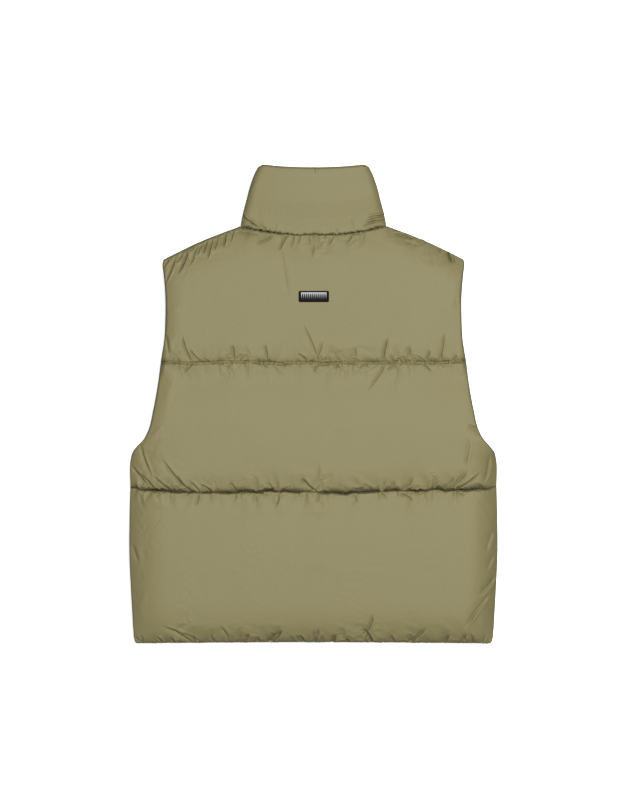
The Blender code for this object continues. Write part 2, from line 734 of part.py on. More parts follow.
def block(name, size, centre, finish, helper=False):
    """A box. A helper only shapes another piece and isn't shown."""
    bpy.ops.mesh.primitive_cube_add(size=1, location=centre)
    made = bpy.context.object
    made.name = name
    made.data.transform(Matrix.Diagonal((*size, 1.0)))
    made.data.materials.append(finish)
    move_to(made, "shaping_tools" if helper else COLLECTION)
    made.hide_render = helper
    if helper:
        made.display_type = "WIRE"
    return made


def move_to(obj, name):
    for owner in tuple(obj.users_collection):
        owner.objects.unlink(obj)
    bpy.data.collections[name].objects.link(obj)


def rounded(obj, width, segments):
    bevel = obj.modifiers.new("rounded", "BEVEL")
    bevel.width = width
    bevel.segments = segments
    bevel.limit_method = "ANGLE"


def boolean(obj, other, operation):
    cut = obj.modifiers.new(operation.lower(), "BOOLEAN")
    cut.operation = operation
    cut.solver = "EXACT"
    cut.object = other


def pivot_place():
    """Where the pull's bar turns, under the slider's bridge."""
    plate_bottom = slider_heights()[3]
    return SLIDER_Y, plate_bottom - BRIDGE_INNER


def slider_heights():
    """The slider's levels: top, under its top plate, over its bottom plate, and bottom."""
    teeth_top = zip_level(np.array(SLIDER_Y)).item() + TEETH_TOP
    slot_top = teeth_top + SEAM_GAP
    slot_bottom = teeth_top - TEETH_THICK - SEAM_GAP
    return slot_top + SLIDER_PLATE, slot_top, slot_bottom, slot_bottom - SLIDER_PLATE


def make_slider(finish):
    """Two plates round the teeth, a post that parts them, and a bridge for the pull."""
    top, slot_top, slot_bottom, bottom = slider_heights()
    size = (SLIDER_WIDTH, SLIDER_LENGTH, top - bottom)
    slider = block("zip_slider", size, (0, SLIDER_Y, (top + bottom) / 2), finish)
    rounded(slider, 0.0008, 2)
    slot_z = (slot_top + slot_bottom) / 2
    slot_size = (2 * SLIDER_WIDTH, SLIDER_LENGTH, slot_top - slot_bottom)
    slot_place = (0, SLIDER_Y - POST_LENGTH, slot_z)
    slot = block("slider_slot", slot_size, slot_place, finish, helper=True)
    boolean(slider, slot, "DIFFERENCE")
    for side_name, side in (("left", -1), ("right", 1)):
        size = (SLIDER_WIDTH, 3 * POST_LENGTH, slot_top - slot_bottom)
        place = (side * (POST_WIDTH + SLIDER_WIDTH) / 2, SLIDER_TOP_Y, slot_z)
        notch = block(f"slider_notch_{side_name}", size, place, finish, helper=True)
        boolean(slider, notch, "DIFFERENCE")
    boolean(slider, make_bridge(finish), "UNION")


def arch(radius, foot):
    """Half a circle below the pivot, as (y, z) pairs, with a straight foot at each end."""
    turn = np.radians(np.linspace(0, 180, BRIDGE_STEPS))
    round_part = np.stack([radius * np.cos(turn), -radius * np.sin(turn)], axis=-1)
    return np.concatenate([[(radius, foot)], round_part, [(-radius, foot)]])


def make_bridge(finish):
    """The slider's bridge: a half ring whose feet stand on the bottom plate."""
    foot = BRIDGE_INNER + BRIDGE_SINK
    pivot = np.array(pivot_place())
    outer = arch(BRIDGE_OUTER, foot) + pivot
    inner = arch(BRIDGE_INNER, foot) + pivot
    left, right = -BRIDGE_WIDTH / 2, BRIDGE_WIDTH / 2
    rings = []
    for out, within in zip(outer, inner):
        rings.append([(left, *out), (right, *out), (right, *within), (left, *within)])
    bridge = loft("slider_bridge", np.array(rings), finish)
    move_to(bridge, "shaping_tools")
    bridge.hide_render = True
    bridge.display_type = "WIRE"
    return bridge


def make_pull(finish):
    """The pull: a flat tab whose eye hangs on the bridge and whose tip nears the surface."""
    y, z = pivot_place()
    sink = math.asin((z - PULL_TIP_CLEAR - PULL_THICK / 2) / PULL_LENGTH)
    length = PULL_LENGTH + PULL_BAR_RADIUS
    pull = block("zip_pull", (2 * PULL_HALF_WIDTH, length, PULL_THICK), (0, 0, 0), finish)
    pull.data.transform(Matrix.Translation((0, PULL_BAR_RADIUS - length / 2, 0)))
    eye_size = (2 * PULL_EYE_HALF_WIDTH, PULL_EYE_LENGTH - PULL_BAR_RADIUS, 3 * PULL_THICK)
    eye_place = (0, -(PULL_EYE_LENGTH + PULL_BAR_RADIUS) / 2, 0)
    eye = block("pull_eye", eye_size, eye_place, finish, helper=True)
    eye.parent = pull
    boolean(pull, eye, "DIFFERENCE")
    rounded(pull, 0.0004, 1)
    pull.location = (0, y, z)
    pull.rotation_euler = (sink, 0, 0)


def rounded_plate(name, size, corner, centre, finish):
    """A flat plate with round corners: an outline curve, extruded, as a mesh."""
    curve = bpy.data.curves.new(name, "CURVE")
    curve.dimensions = "2D"
    curve.fill_mode = "BOTH"
    curve.extrude = size[2] / 2
    outline = []
    for sx, sy, start in ((1, 1, 0), (-1, 1, 90), (-1, -1, 180), (1, -1, 270)):
        cx, cy = sx * (size[0] / 2 - corner), sy * (size[1] / 2 - corner)
        for angle in np.radians(np.linspace(start, start + 90, 5)):
            outline.append((cx + corner * math.cos(angle), cy + corner * math.sin(angle)))
    spline = curve.splines.new("POLY")
    spline.points.add(len(outline) - 1)
    for point, (px, py) in zip(spline.points, outline):
        point.co = (px, py, 0, 1)
    spline.use_cyclic_u = True
    guide = bpy.data.objects.new(name + "_outline", curve)
    bpy.data.collections[COLLECTION].objects.link(guide)
    bpy.context.view_layer.update()
    graph = bpy.context.evaluated_depsgraph_get()
    bm = bmesh.new()
    bm.from_mesh(bpy.data.meshes.new_from_object(guide.evaluated_get(graph)))
    bpy.data.objects.remove(guide)
    bmesh.ops.remove_doubles(bm, verts=bm.verts, dist=1e-6)
    made = object_from(bm, name, finish, 30)
    made.location = centre
    return made


def make_badge(plate_finish, inset_finish):
    """A badge on the yoke, with a raised inset that carries no lettering."""
    x, y = BADGE_CENTRE
    base = BACK_INSIDE + BACK_FULL + SEAM_GAP
    plate_z = base + BADGE_SIZE[2] / 2
    rounded_plate("badge_plate", BADGE_SIZE, BADGE_CORNER, (x, y, plate_z), plate_finish)
    inset_z = base + BADGE_SIZE[2] + SEAM_GAP + INSET_SIZE[2] / 2
    inset_place = (x, y + INSET_RAISE_Y, inset_z)
    rounded_plate("badge_inset", INSET_SIZE, INSET_CORNER, inset_place, inset_finish)


def main():
    for obj in tuple(bpy.data.objects):
        bpy.data.objects.remove(obj)
    collection(COLLECTION)
    tools = collection("shaping_tools")
    tools.hide_render = True
    shell = material("shell_fabric", OLIVE, 0.55)
    tape = material("zip_tape_fabric", TAPE_OLIVE, 0.80)
    teeth = material("zip_teeth", TEETH_OLIVE, 0.50)
    metal = material("zip_metal", PEWTER, 0.35, 1.0)
    rubber = material("badge_rubber", BLACK, 0.45)
    silver = material("badge_inset", SILVER, 0.30, 1.0)
    make_back(shell)
    make_front("left", -1, shell)
    make_front("right", 1, shell)
    make_collar(shell)
    make_zip(tape, teeth)
    make_slider(metal)
    make_pull(metal)
    make_badge(rubber, silver)


main()
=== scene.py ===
"""Looks of a quilted puffer vest that lies face down, with its back upwards.

Metres. +X is the wearer's right, +Y runs from the hem to the collar, and +Z is up. Each padded
piece is a sheet of cloth over its filling. Its crown is worked out from the seams round it, its
gathers and creases are taken from the crown, and the moves of a cloth simulation, which lets the
slack beside the seams pucker, are added.
"""

from __future__ import annotations

import logging
import math
from contextlib import contextmanager
from dataclasses import dataclass, replace
from enum import Enum
from typing import Callable, Iterator, NamedTuple, Sequence

import bmesh
import bpy
import numpy as np
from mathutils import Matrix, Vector


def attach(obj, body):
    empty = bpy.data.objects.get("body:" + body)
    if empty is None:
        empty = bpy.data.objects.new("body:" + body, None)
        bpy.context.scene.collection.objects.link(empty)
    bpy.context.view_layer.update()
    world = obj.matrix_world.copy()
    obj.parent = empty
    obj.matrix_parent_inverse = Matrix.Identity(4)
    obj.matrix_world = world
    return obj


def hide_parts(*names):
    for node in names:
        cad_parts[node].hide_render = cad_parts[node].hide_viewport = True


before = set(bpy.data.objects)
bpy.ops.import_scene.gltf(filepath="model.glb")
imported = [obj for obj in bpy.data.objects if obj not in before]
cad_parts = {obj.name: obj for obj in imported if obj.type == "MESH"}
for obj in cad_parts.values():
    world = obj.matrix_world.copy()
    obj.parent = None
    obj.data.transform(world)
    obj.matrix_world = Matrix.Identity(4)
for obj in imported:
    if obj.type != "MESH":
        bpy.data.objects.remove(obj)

LOG = logging.getLogger("vest")
Array = np.ndarray
Colour = tuple[float, float, float]
Table = tuple[tuple[float, float], ...]
MM = 0.001
VEST = "vest"


class Side(Enum):
    """Which part of the vest a channel is cut for."""

    BACK = "back"
    FRONT_LEFT = "front_left"
    FRONT_RIGHT = "front_right"

    @property
    def facing(self) -> int:
        """1 where the outside faces up, -1 where it faces the surface below."""
        return 1 if self is Side.BACK else -1

    @property
    def mirror(self) -> int:
        """-1 for the left front, which is the right front's mirror image."""
        return -1 if self is Side.FRONT_LEFT else 1


class Seam(Enum):
    """How an edge of a channel is sewn."""

    PLAIN = "plain"
    RIDGED = "ridged"
    TURNED = "turned"


# --- Curves ---


def smooth_step(value: Array | float, low: float, high: float) -> Array:
    """0 below low, 1 above high, and 3t^2 - 2t^3 between.

    Args:
        value: Where to read the step.
        low: Where it starts to rise.
        high: Where it reaches 1.

    Returns:
        The step, in the shape of value.
    """
    t = np.clip((np.asarray(value, float) - low) / (high - low), 0, 1)
    return t * t * (3 - 2 * t)


def crowded(count: int, pull: float) -> Array:
    """Shares from 0 to 1 that stand closer together at both ends: t - pull sin(2 pi t) / 2 pi.

    Args:
        count: How many shares.
        pull: 0 for even steps, towards 1 for the closest ends.

    Returns:
        The shares.
    """
    t = np.linspace(0, 1, count)
    return t - pull * np.sin(2 * np.pi * t) / (2 * np.pi)


def through(points: Table, values: Array) -> Array:
    """A cubic Hermite curve through a table's points, with slopes from their neighbours.

    Args:
        points: Rows of (place, height), in rising order of place.
        values: Where to read the curve.

    Returns:
        The heights.
    """
    at, height = np.array(points, float).T
    slope = np.gradient(height, at)
    values = np.clip(values, at[0], at[-1])
    k = np.clip(np.searchsorted(at, values) - 1, 0, len(at) - 2)
    span = at[k + 1] - at[k]
    t = (values - at[k]) / span
    start = (2 * t**3 - 3 * t**2 + 1) * height[k] + (t**3 - 2 * t**2 + t) * span * slope[k]
    end = (3 * t**2 - 2 * t**3) * height[k + 1] + (t**3 - t**2) * span * slope[k + 1]
    return start + end


def finer(coarse: Array, rows: int, columns: int) -> Array:
    """Reads a grid of values on a finer even grid, by Catmull-Rom splines along both of its ways.

    Args:
        coarse: Values [row, column, ...].
        rows: Rows of the finer grid.
        columns: Columns of the finer grid.

    Returns:
        Values [rows, columns, ...].
    """

    def along_first(values: Array, count: int) -> Array:
        """The spline along the first axis.

        Args:
            values: Values [row, ...].
            count: Rows wanted.

        Returns:
            Values [count, ...].
        """
        place = np.linspace(0, len(values) - 1, count)
        k = np.clip(place.astype(int), 0, len(values) - 2)
        t = (place - k).reshape(-1, *[1] * (values.ndim - 1))
        a, b = values[np.maximum(k - 1, 0)], values[k]
        c, d = values[k + 1], values[np.minimum(k + 2, len(values) - 1)]
        curve = 2 * b + (c - a) * t + (2 * a - 5 * b + 4 * c - d) * t**2
        return (curve + (3 * b - a - 3 * c + d) * t**3) / 2

    tall = along_first(coarse, rows)
    return np.swapaxes(along_first(np.swapaxes(tall, 0, 1), columns), 0, 1)


# --- The cut of the vest ---


@dataclass(frozen=True)
class Pattern:
    """The vest's seam lines and edges as it lies flat, in metres."""

    hem_y: float = -0.3655
    hem_rise: float = 0.0020
    lower_seam_y: float = -0.1343
    lower_seam_rise: float = 0.0072
    lower_seam_power: float = 2.5
    upper_seam_y: float = 0.0628
    shoulder_tip: tuple[float, float] = (0.230, 0.2197)
    neck_point: tuple[float, float] = (0.112, 0.2709)
    neck_end: float = 0.85
    back_neck_y: float = 0.2569
    back_neck_power: float = 2.4
    front_neck_y: float = 0.2160
    front_neck_power: float = 2.2
    side_x: float = 0.280
    drawn_in: float = 0.0008
    front_edge_x: float = 0.0075
    armhole_y: float = -0.0740
    armhole_scoop: float = 0.011
    shoulder_bulge: float = 0.003
    wander: float = 0.00034
    wander_power: float = 0.22
    wander_waves: tuple[float, ...] = (0.092, 0.057, 0.036, 0.023, 0.0149, 0.0098, 0.0071, 0.0052)
    underarm: tuple[float, float] = (-0.084, -0.070)
    edge: Table = (
        (-0.3660, 0.2692), (-0.3644, 0.2716), (-0.3618, 0.2733), (-0.3590, 0.2741),
        (-0.3450, 0.2757), (-0.3200, 0.2772), (-0.2700, 0.2800), (-0.2380, 0.2815),
        (-0.1750, 0.2815), (-0.1280, 0.2803), (-0.0840, 0.2793), (-0.0740, 0.2768),
        (-0.0620, 0.2680), (-0.0520, 0.2590), (-0.0400, 0.2528), (-0.0100, 0.2452),
        (0.0300, 0.2381), (0.0640, 0.2337), (0.0980, 0.2283), (0.1300, 0.2266), (0.1700, 0.2269),
        (0.2000, 0.2296), (0.2140, 0.2311), (0.2197, 0.2300),
    )
    back_lower_seam: Table = (
        (-0.2800, -0.1275), (-0.2705, -0.1276), (-0.2655, -0.1293), (-0.2450, -0.1312),
        (-0.2260, -0.1321), (-0.2070, -0.1338), (-0.1880, -0.1340), (-0.1610, -0.1346),
        (-0.1495, -0.1340), (-0.1340, -0.1350), (-0.1190, -0.1344), (-0.1095, -0.1332),
        (-0.0980, -0.1334), (-0.0850, -0.1342), (-0.0656, -0.1317), (-0.0560, -0.1327),
        (-0.0400, -0.1332), (-0.0300, -0.1340), (-0.0120, -0.1325), (0.0000, -0.1324),
        (0.0120, -0.1344), (0.0340, -0.1350), (0.0510, -0.1364), (0.0590, -0.1349),
        (0.0780, -0.1338), (0.1080, -0.1319), (0.1310, -0.1308), (0.1430, -0.1315),
        (0.1650, -0.1317), (0.1890, -0.1296), (0.1990, -0.1313), (0.2075, -0.1316),
        (0.2200, -0.1304), (0.2320, -0.1310), (0.2510, -0.1289), (0.2690, -0.1287),
        (0.2745, -0.1268), (0.2800, -0.1253),
    )
    back_upper_seam: Table = (
        (-0.2400, 0.0620), (-0.2290, 0.0625), (-0.2140, 0.0634), (-0.2050, 0.0628),
        (-0.1960, 0.0612), (-0.1820, 0.0610), (-0.1700, 0.0618), (-0.1580, 0.0626),
        (-0.0750, 0.0627), (-0.0460, 0.0616), (-0.0250, 0.0625), (0.0000, 0.0624),
        (0.0160, 0.0611), (0.0350, 0.0618), (0.0550, 0.0625), (0.0850, 0.0624), (0.1050, 0.0630),
        (0.1300, 0.0629), (0.1900, 0.0629), (0.2050, 0.0635), (0.2140, 0.0643), (0.2400, 0.0646),
    )

    def half_width(self, y: Array, side: Side) -> Array:
        """Half the width at a height, which the sewing draws in a little.

        The front's armhole is a sine deeper than the back's.

        Args:
            y: Heights.
            side: The back or a front.

        Returns:
            Half widths.
        """
        half = through(self.edge, y) - self.drawn_in
        if side is Side.BACK:
            return half
        bottom = self.armhole_y
        share = np.clip((y - bottom) / (self.shoulder_tip[1] - bottom), 0, 1)
        return half - self.armhole_scoop * np.sin(math.pi * share)

    def wavy(self, x: Array, seed: int) -> Array:
        """A seam's small sideways wander: sines whose height falls slowly with their wavelength.

        Args:
            x: Places along the seam.
            seed: Sets the sines' phases.

        Returns:
            Sideways moves.
        """
        rng = np.random.default_rng(seed)
        total = np.zeros(np.shape(x))
        for wave in self.wander_waves:
            height = self.wander * (wave / self.wander_waves[2]) ** self.wander_power
            total = total + height * np.sin(2 * np.pi * (x / wave + rng.uniform()))
        return total

    def hem(self, x: Array) -> Array:
        """The hem: a parabola, a little higher in the middle."""
        return self.hem_y + self.hem_rise * (1 - (x / self.side_x) ** 2)

    def lower_seam(self, x: Array, side: Side) -> Array:
        """The lower quilting seam: listed on the back, and rising as a power on a front.

        Args:
            x: Places across the vest.
            side: The back or a front.

        Returns:
            The seam's heights.
        """
        if side is Side.BACK:
            return through(self.back_lower_seam, x)
        rise = self.lower_seam_rise * np.abs(x / self.side_x) ** self.lower_seam_power
        return self.lower_seam_y + rise

    def upper_seam(self, x: Array, side: Side) -> Array:
        """The upper quilting seam: listed on the back, and straight on a front."""
        return through(self.back_upper_seam, x) if side is Side.BACK else self.upper_seam_y + 0 * x

    def shoulder(self, x: Array) -> Array:
        """The shoulder: a straight line bowed up by half a sine.

        Args:
            x: Places across the vest.

        Returns:
            The line's heights.
        """
        neck, tip = self.neck_point, self.shoulder_tip
        share = np.clip((np.abs(x) - neck[0]) / (tip[0] - neck[0]), 0, 1)
        bulge = self.shoulder_bulge * np.sin(math.pi * share)
        return neck[1] + share * (tip[1] - neck[1]) + bulge

    def back_neck(self, x: Array) -> Array:
        """The back neckline, which rises towards the shoulders as a power of x."""
        across = np.clip(np.abs(x) / self.neck_point[0], 0, 1) ** self.back_neck_power
        return self.back_neck_y + (self.neck_point[1] - self.back_neck_y) * across

    def front_neck(self, x: Array) -> Array:
        """The front neckline: a deep rounded scoop, 1 - sqrt(1 - |x|^power).

        Args:
            x: Places across the vest.

        Returns:
            The line's heights.
        """
        across = np.clip(np.abs(x) / self.neck_point[0], 0, 1)
        scoop = 1 - np.sqrt(1 - across**self.front_neck_power)
        return self.front_neck_y + (self.neck_point[1] - self.front_neck_y) * scoop

    def top(self, x: Array, side: Side) -> Array:
        """The yoke's upper line: the neckline, then the shoulder.

        Args:
            x: Places across the vest.
            side: The back or a front.

        Returns:
            The line's heights.
        """
        neck = self.back_neck(x) if side is Side.BACK else self.front_neck(x)
        return np.where(np.abs(x) < self.neck_point[0], neck, self.shoulder(x))


@dataclass(frozen=True)
class Padding:
    """Thicknesses, levels and how padding rises from a seam, in metres."""

    back_full: float = 0.034
    front_full: float = 0.026
    collar_full: float = 0.017
    seam_thick: float = 0.003
    seam_fade: float = 0.026
    ridge_half_width: float = 0.0014
    ridge_height: float = 0.0007
    ridge_rise: float = 0.0045
    neck_thick: float = 0.0148
    crown_power: float = 2.6
    slope_power: float = 2.6
    crown_share: float = 0.06
    press: float = 1.30
    seam_gap: float = 0.0003
    layer_gap: float = 0.0014
    front_edge_rise: float = 0.026

    @property
    def back_inside(self) -> float:
        """Height of the back's plain inside."""
        return self.front_full + self.layer_gap

    @property
    def middle(self) -> float:
        """Height of the middle of the layers, where the zip's tapes lie."""
        return self.front_full + self.layer_gap / 2

    def inside(self, side: Side) -> float:
        """Height of a channel's plain inside."""
        return self.back_inside if side is Side.BACK else self.front_full

    def rise(self, distance: Array, reach: float) -> Array:
        """Share of the full thickness: sqrt(1 - (1 - d/reach)^power), level past its reach.

        Args:
            distance: How far from the seam.
            reach: Where the padding is full.

        Returns:
            Shares from 0 to 1.
        """
        left = 1 - np.clip(distance / reach, 0, 1)
        return np.sqrt(1 - left**self.crown_power)


PATTERN = Pattern()
PADDING = Padding()


@dataclass(frozen=True)
class Roll:
    """How padding rises from one side of a seam: a quick round lip, then a gentle slope.

    Hung up, the filling sinks, so a channel is round and full at its lower seam, and thin and
    taut just under its upper one.
    """

    lip: float
    lip_reach: float
    reach: float

    def share(self, distance: Array) -> Array:
        """Share of the full thickness: the lip's crown, the rest 1 - (1 - d/reach)^power."""
        slope = 1 - (1 - np.clip(distance / self.reach, 0, 1)) ** PADDING.slope_power
        return self.lip * PADDING.rise(distance, self.lip_reach) + (1 - self.lip) * slope


class Pair(NamedTuple):
    """A roll for the left half of the vest and one for the right."""

    left: Roll
    right: Roll

    def share(self, x: Array, distance: Array) -> Array:
        """Share of the full thickness, on the roll for each half."""
        return np.where(x < 0, self.left.share(distance), self.right.share(distance))


# --- Creases and gathers ---


class Crease(NamedTuple):
    """A crease in the cloth, in millimetres, from one end to the other."""

    x: float
    y: float
    end_x: float
    end_y: float
    half_width: float
    depth: float
    bow: float = 0.0


def creased(*rows: tuple[float, ...]) -> tuple[Crease, ...]:
    """Creases from rows of their values."""
    return tuple(Crease(*row) for row in rows)


LOWER_CREASES = creased(
    (277, -264, 252, -289, 3.2, 2.6, 1.5), (264, -294, 233, -335, 2.6, 2.4, -1.5),
    (-224, -339, -184, -363, 2.6, 2.6, 2.0), (-205, -345, -170, -362, 2.4, 1.4),
    (-49, -346, -67, -367, 3.2, 3.6), (-58, -350, -70, -369, 2.2, 3.0),
    (90, -322, 77, -350, 2.4, 2.4, 1.5), (77, -342, 94, -368, 2.4, 3.0),
    (170, -342, 143, -366, 2.6, 2.8), (206, -353, 191, -369, 2.4, 3.0),
    (-140, -338, -128, -356, 3.0, 1.2), (8, -344, 0, -368, 3.2, 2.6),
    (34, -352, 26, -371, 2.6, 3.6), (118, -352, 126, -370, 2.4, 2.2),
    (-98, -350, -109, -370, 2.6, 2.4), (-20, -352, -10, -371, 2.6, 3.8),
    (232, -350, 222, -369, 2.4, 2.0), (-216, -356, -204, -373, 2.2, 3.0),
    (-84, -356, -78, -372, 2.2, 2.6), (50, -356, 58, -372, 2.2, 2.6),
    (101, -134, 110, -142, 2.0, 1.4), (132, -136, 150, -146, 2.0, 1.6, 1.0),
    (-173, -137, -178, -153, 2.0, 1.3), (-51, -138, -57, -153, 2.0, 1.3),
    (215, -134, 228, -139, 2.0, 1.2), (-90, -137, -86, -147, 1.8, 1.0),
    (60, -137, 66, -148, 1.8, 0.9), (9, -138, 5, -149, 1.8, 1.0),
    (-274, -216, -266, -240, 4.0, 1.2), (272, -196, 262, -222, 4.0, 1.2),
    (274, -232, 264, -250, 3.0, 1.2),
)
MIDDLE_CREASES = creased(
    (-262, -62, -247, -106, 2.2, 2.2, -2.0), (-226, -89, -185, -134, 2.4, 2.4, -2.0),
    (-275, -96, -252, -123, 2.4, 2.4), (-186, -118, -172, -134, 2.2, 1.8),
    (-171, -122, -153, -133, 2.0, 1.8), (-206, -108, -196, -130, 2.2, 1.4),
    (-240, -112, -216, -132, 2.6, 1.6, -1.0), (-262, -106, -240, -130, 2.4, 1.4),
    (236, -32, 253, -47, 2.6, 2.2, 1.5), (236, -56, 229, -94, 3.0, 1.2),
    (267, -80, 260, -117, 3.4, 1.8, 2.0), (250, -107, 217, -130, 2.4, 2.2, 1.5),
    (232, -104, 206, -128, 2.6, 1.8, 1.0), (214, -112, 196, -131, 2.4, 1.6),
    (-68, -119, -60, -133, 1.8, 1.4), (-125, -120, -117, -132, 2.0, 1.4),
    (-17, -114, 3, -132, 2.6, 2.6, -1.0), (8, -94, -2, -131, 5.0, 0.9, 2.0),
    (28, -104, 20, -131, 4.0, 0.5), (109, -118, 102, -132, 2.0, 1.6),
    (150, -113, 134, -131, 2.4, 1.8, 1.0), (124, -118, 118, -132, 2.0, 1.0),
    (178, -116, 170, -131, 2.2, 0.6), (192, -124, 187, -131, 1.8, 1.2),
    (66, -116, 60, -133, 3.0, 0.5), (-150, -116, -146, -132, 2.2, 0.5), (7, 61, 0, 49, 1.6, 1.6),
    (108, 59, 84, 24, 2.0, 1.3, 1.0), (81, 61, 70, 54, 1.6, 1.4), (125, 60, 112, 52, 1.6, 1.4),
    (166, 61, 177, 50, 1.6, 1.5), (-182, 62, -196, 48, 1.6, 1.6), (-234, 42, -244, 32, 2.4, 1.6),
    (40, 60, 33, 55, 1.6, 1.0), (-126, 61, -130, 53, 1.8, 0.9),
)
YOKE_CREASES = creased(
    (-210, 220, -225, 183, 2.0, 3.2, 1.0), (-191, 230, -204, 199, 2.3, 3.8, 1.0),
    (-177, 236, -186, 212, 2.0, 2.0), (-162, 246, -166, 229, 1.9, 2.8),
    (-154, 248, -160, 222, 2.1, 2.6), (-133, 258, -136, 239, 1.9, 2.8),
    (-146, 250, -150, 234, 1.8, 1.9), (-220, 219, -227, 208, 1.9, 2.6),
    (-199, 227, -208, 214, 1.8, 2.0), (-170, 241, -176, 226, 1.8, 1.8),
    (-122, 262, -125, 247, 1.8, 1.6), (203, 232, 210, 216, 1.9, 4.2),
    (208, 227, 215, 215, 1.7, 2.2), (188, 238, 194, 229, 1.8, 1.6), (123, 259, 152, 252, 2.2, 2.2),
    (140, 247, 158, 240, 4.0, 1.4), (176, 236, 181, 208, 3.6, 0.6),
    (-62, 255, -87, 243, 1.9, 2.0, 1.0), (-39, 256, -51, 234, 2.0, 2.2, -1.5),
    (-30, 255, -33, 238, 1.8, 1.2), (-116, 262, -86, 258, 2.0, 1.8, -1.5),
    (-20, 255, -24, 242, 1.8, 1.1), (30, 254, 22, 240, 1.8, 1.0), (59, 258, 50, 243, 1.7, 1.3),
    (-8, 255, -5, 241, 1.8, 0.9), (-50, 238, -39, 168, 5.0, 0.45), (0, 250, -3, 222, 4.0, 0.9),
    (-198, 100, -185, 66, 1.7, 1.9, -2.0), (-186, 81, -173, 66, 1.6, 1.7, -1.0),
    (-122, 88, -121, 68, 2.0, 1.4), (-73, 88, -70, 67, 1.8, 1.7), (-14, 116, 7, 66, 2.2, 1.2, 1.0),
    (-22, 76, -12, 67, 1.8, 1.5), (13, 92, 5, 68, 1.8, 1.2), (112, 98, 105, 66, 1.8, 1.9, -1.0),
    (176, 80, 170, 66, 1.6, 1.5), (198, 104, 192, 68, 1.8, 1.2), (217, 73, 211, 66, 1.6, 1.5),
    (64, 84, 62, 70, 2.4, 1.1), (194, 75, 192, 67, 1.6, 1.1), (119, 74, 117, 67, 1.6, 1.1),
    (146, 86, 143, 68, 2.2, 0.9), (-224, 104, -219, 76, 4.0, 1.6),
)
COLLAR_CREASES = creased(
    (114, 290, 83, 284, 1.9, 6.4, 1.0), (112, 280, 79, 275, 1.8, 5.2, -0.8),
    (104, 302, 92, 296, 1.8, 2.0), (96, 281, 76, 270, 1.7, 3.2), (-112, 293, -99, 277, 2.0, 3.8),
    (-110, 284, -88, 270, 2.2, 4.4, 1.0), (-98, 279, -82, 268, 1.9, 3.0, -0.6),
    (-84, 274, -72, 266, 1.7, 2.0), (3, 361, 2, 352, 1.6, 1.6), (9, 361, 7, 356, 1.4, 1.0),
    (-100, 325, -92, 340, 4.0, 1.2), (56, 282, 62, 266, 1.8, 1.0), (-60, 262, -56, 274, 1.8, 0.9),
)
FRONT_CREASES = creased(
    (262, -62, 247, -106, 2.6, 2.0), (238, -100, 200, -128, 2.6, 2.0),
    (272, -262, 250, -292, 2.6, 2.0), (226, -340, 190, -362, 2.6, 2.0),
    (206, 222, 222, 184, 2.2, 2.0),
)


@dataclass(frozen=True)
class Press:
    """The shape of a pressed crease: shares of its depth, and widths in its own half widths.

    Its steep side faces the light, whose direction over the surface is to_light.
    """

    groove: float = 0.72
    lying: float = 0.28
    lying_width: float = 4.0
    ridge: float = 0.40
    ridge_width: float = 2.0
    ridge_place: float = 0.95
    end_width: float = 0.6
    starts: tuple[float, float] = (-0.15, 0.25)
    stops: tuple[float, float] = (0.70, 1.15)
    to_light: tuple[float, float] = (0.75, 0.66)


PRESS = Press()
PATCH_WAVES = (0.21, 0.13, 0.083, 0.051)
PATCH_STEP = (-1.4, 1.8)


def pressed(
    x: Array, y: Array, creases: Sequence[Crease], sharp: float = 1.1, widen: float = 0.58
) -> Array:
    """Depth of the creases at places on the cloth, in metres.

    Across a crease, it is exp(-(a/w)^sharp), four times as wide for a share of it on one side,
    where the cloth lies back, less a soft bell on the other, where it stands up. Along it, it
    fades towards both ends.

    Args:
        x: Places across the vest.
        y: Places along it.
        creases: The table's rows.
        sharp: 2 for a round trough, less for a pinched one.
        widen: How many times as wide as in the table.

    Returns:
        Depths, in the shape of x.
    """
    depth = np.zeros(np.broadcast(x, y).shape)
    for crease in creases:
        start = np.array((crease.x, crease.y)) * MM
        run = np.array((crease.end_x, crease.end_y)) * MM - start
        length = float(np.hypot(*run))
        along = ((x - start[0]) * run[0] + (y - start[1]) * run[1]) / length**2
        aside = ((y - start[1]) * run[0] - (x - start[0]) * run[1]) / length
        aside = aside - crease.bow * MM * np.sin(np.pi * np.clip(along, 0, 1))
        lit = run[0] * PRESS.to_light[1] > run[1] * PRESS.to_light[0]
        aside = aside * (1 if lit else -1)
        reach = smooth_step(along, *PRESS.starts) * (1 - smooth_step(along, *PRESS.stops))
        width = crease.half_width * MM * widen * (PRESS.end_width + (1 - PRESS.end_width) * reach)
        groove = PRESS.groove * np.exp(-(np.abs(aside / width) ** sharp))
        lying = np.where(aside < 0, PRESS.lying_width * width, width)
        groove = groove + PRESS.lying * np.exp(-(np.abs(aside / lying) ** sharp))
        ridge = aside / (PRESS.ridge_width * width) - PRESS.ridge_place
        groove = groove - PRESS.ridge * np.exp(-(ridge**2))
        depth += crease.depth * MM * reach * groove
    return depth


def patches(x: Array, seed: int, low: float = 0.25, size: float = 1.0) -> Array:
    """Stretches along a seam where the cloth gathers more and less: soft noise between low and 1.

    Args:
        x: Places along the seam.
        seed: Sets where the stretches are.
        low: The least share.
        size: 1 for stretches as long as a hand is wide, less for shorter ones.

    Returns:
        Shares.
    """
    rng = np.random.default_rng(seed)
    waves = np.array(PATCH_WAVES) * size
    total = sum(np.sin(2 * np.pi * (x / wave + rng.uniform())) for wave in waves)
    return low + (1 - low) * smooth_step(total, *PATCH_STEP)


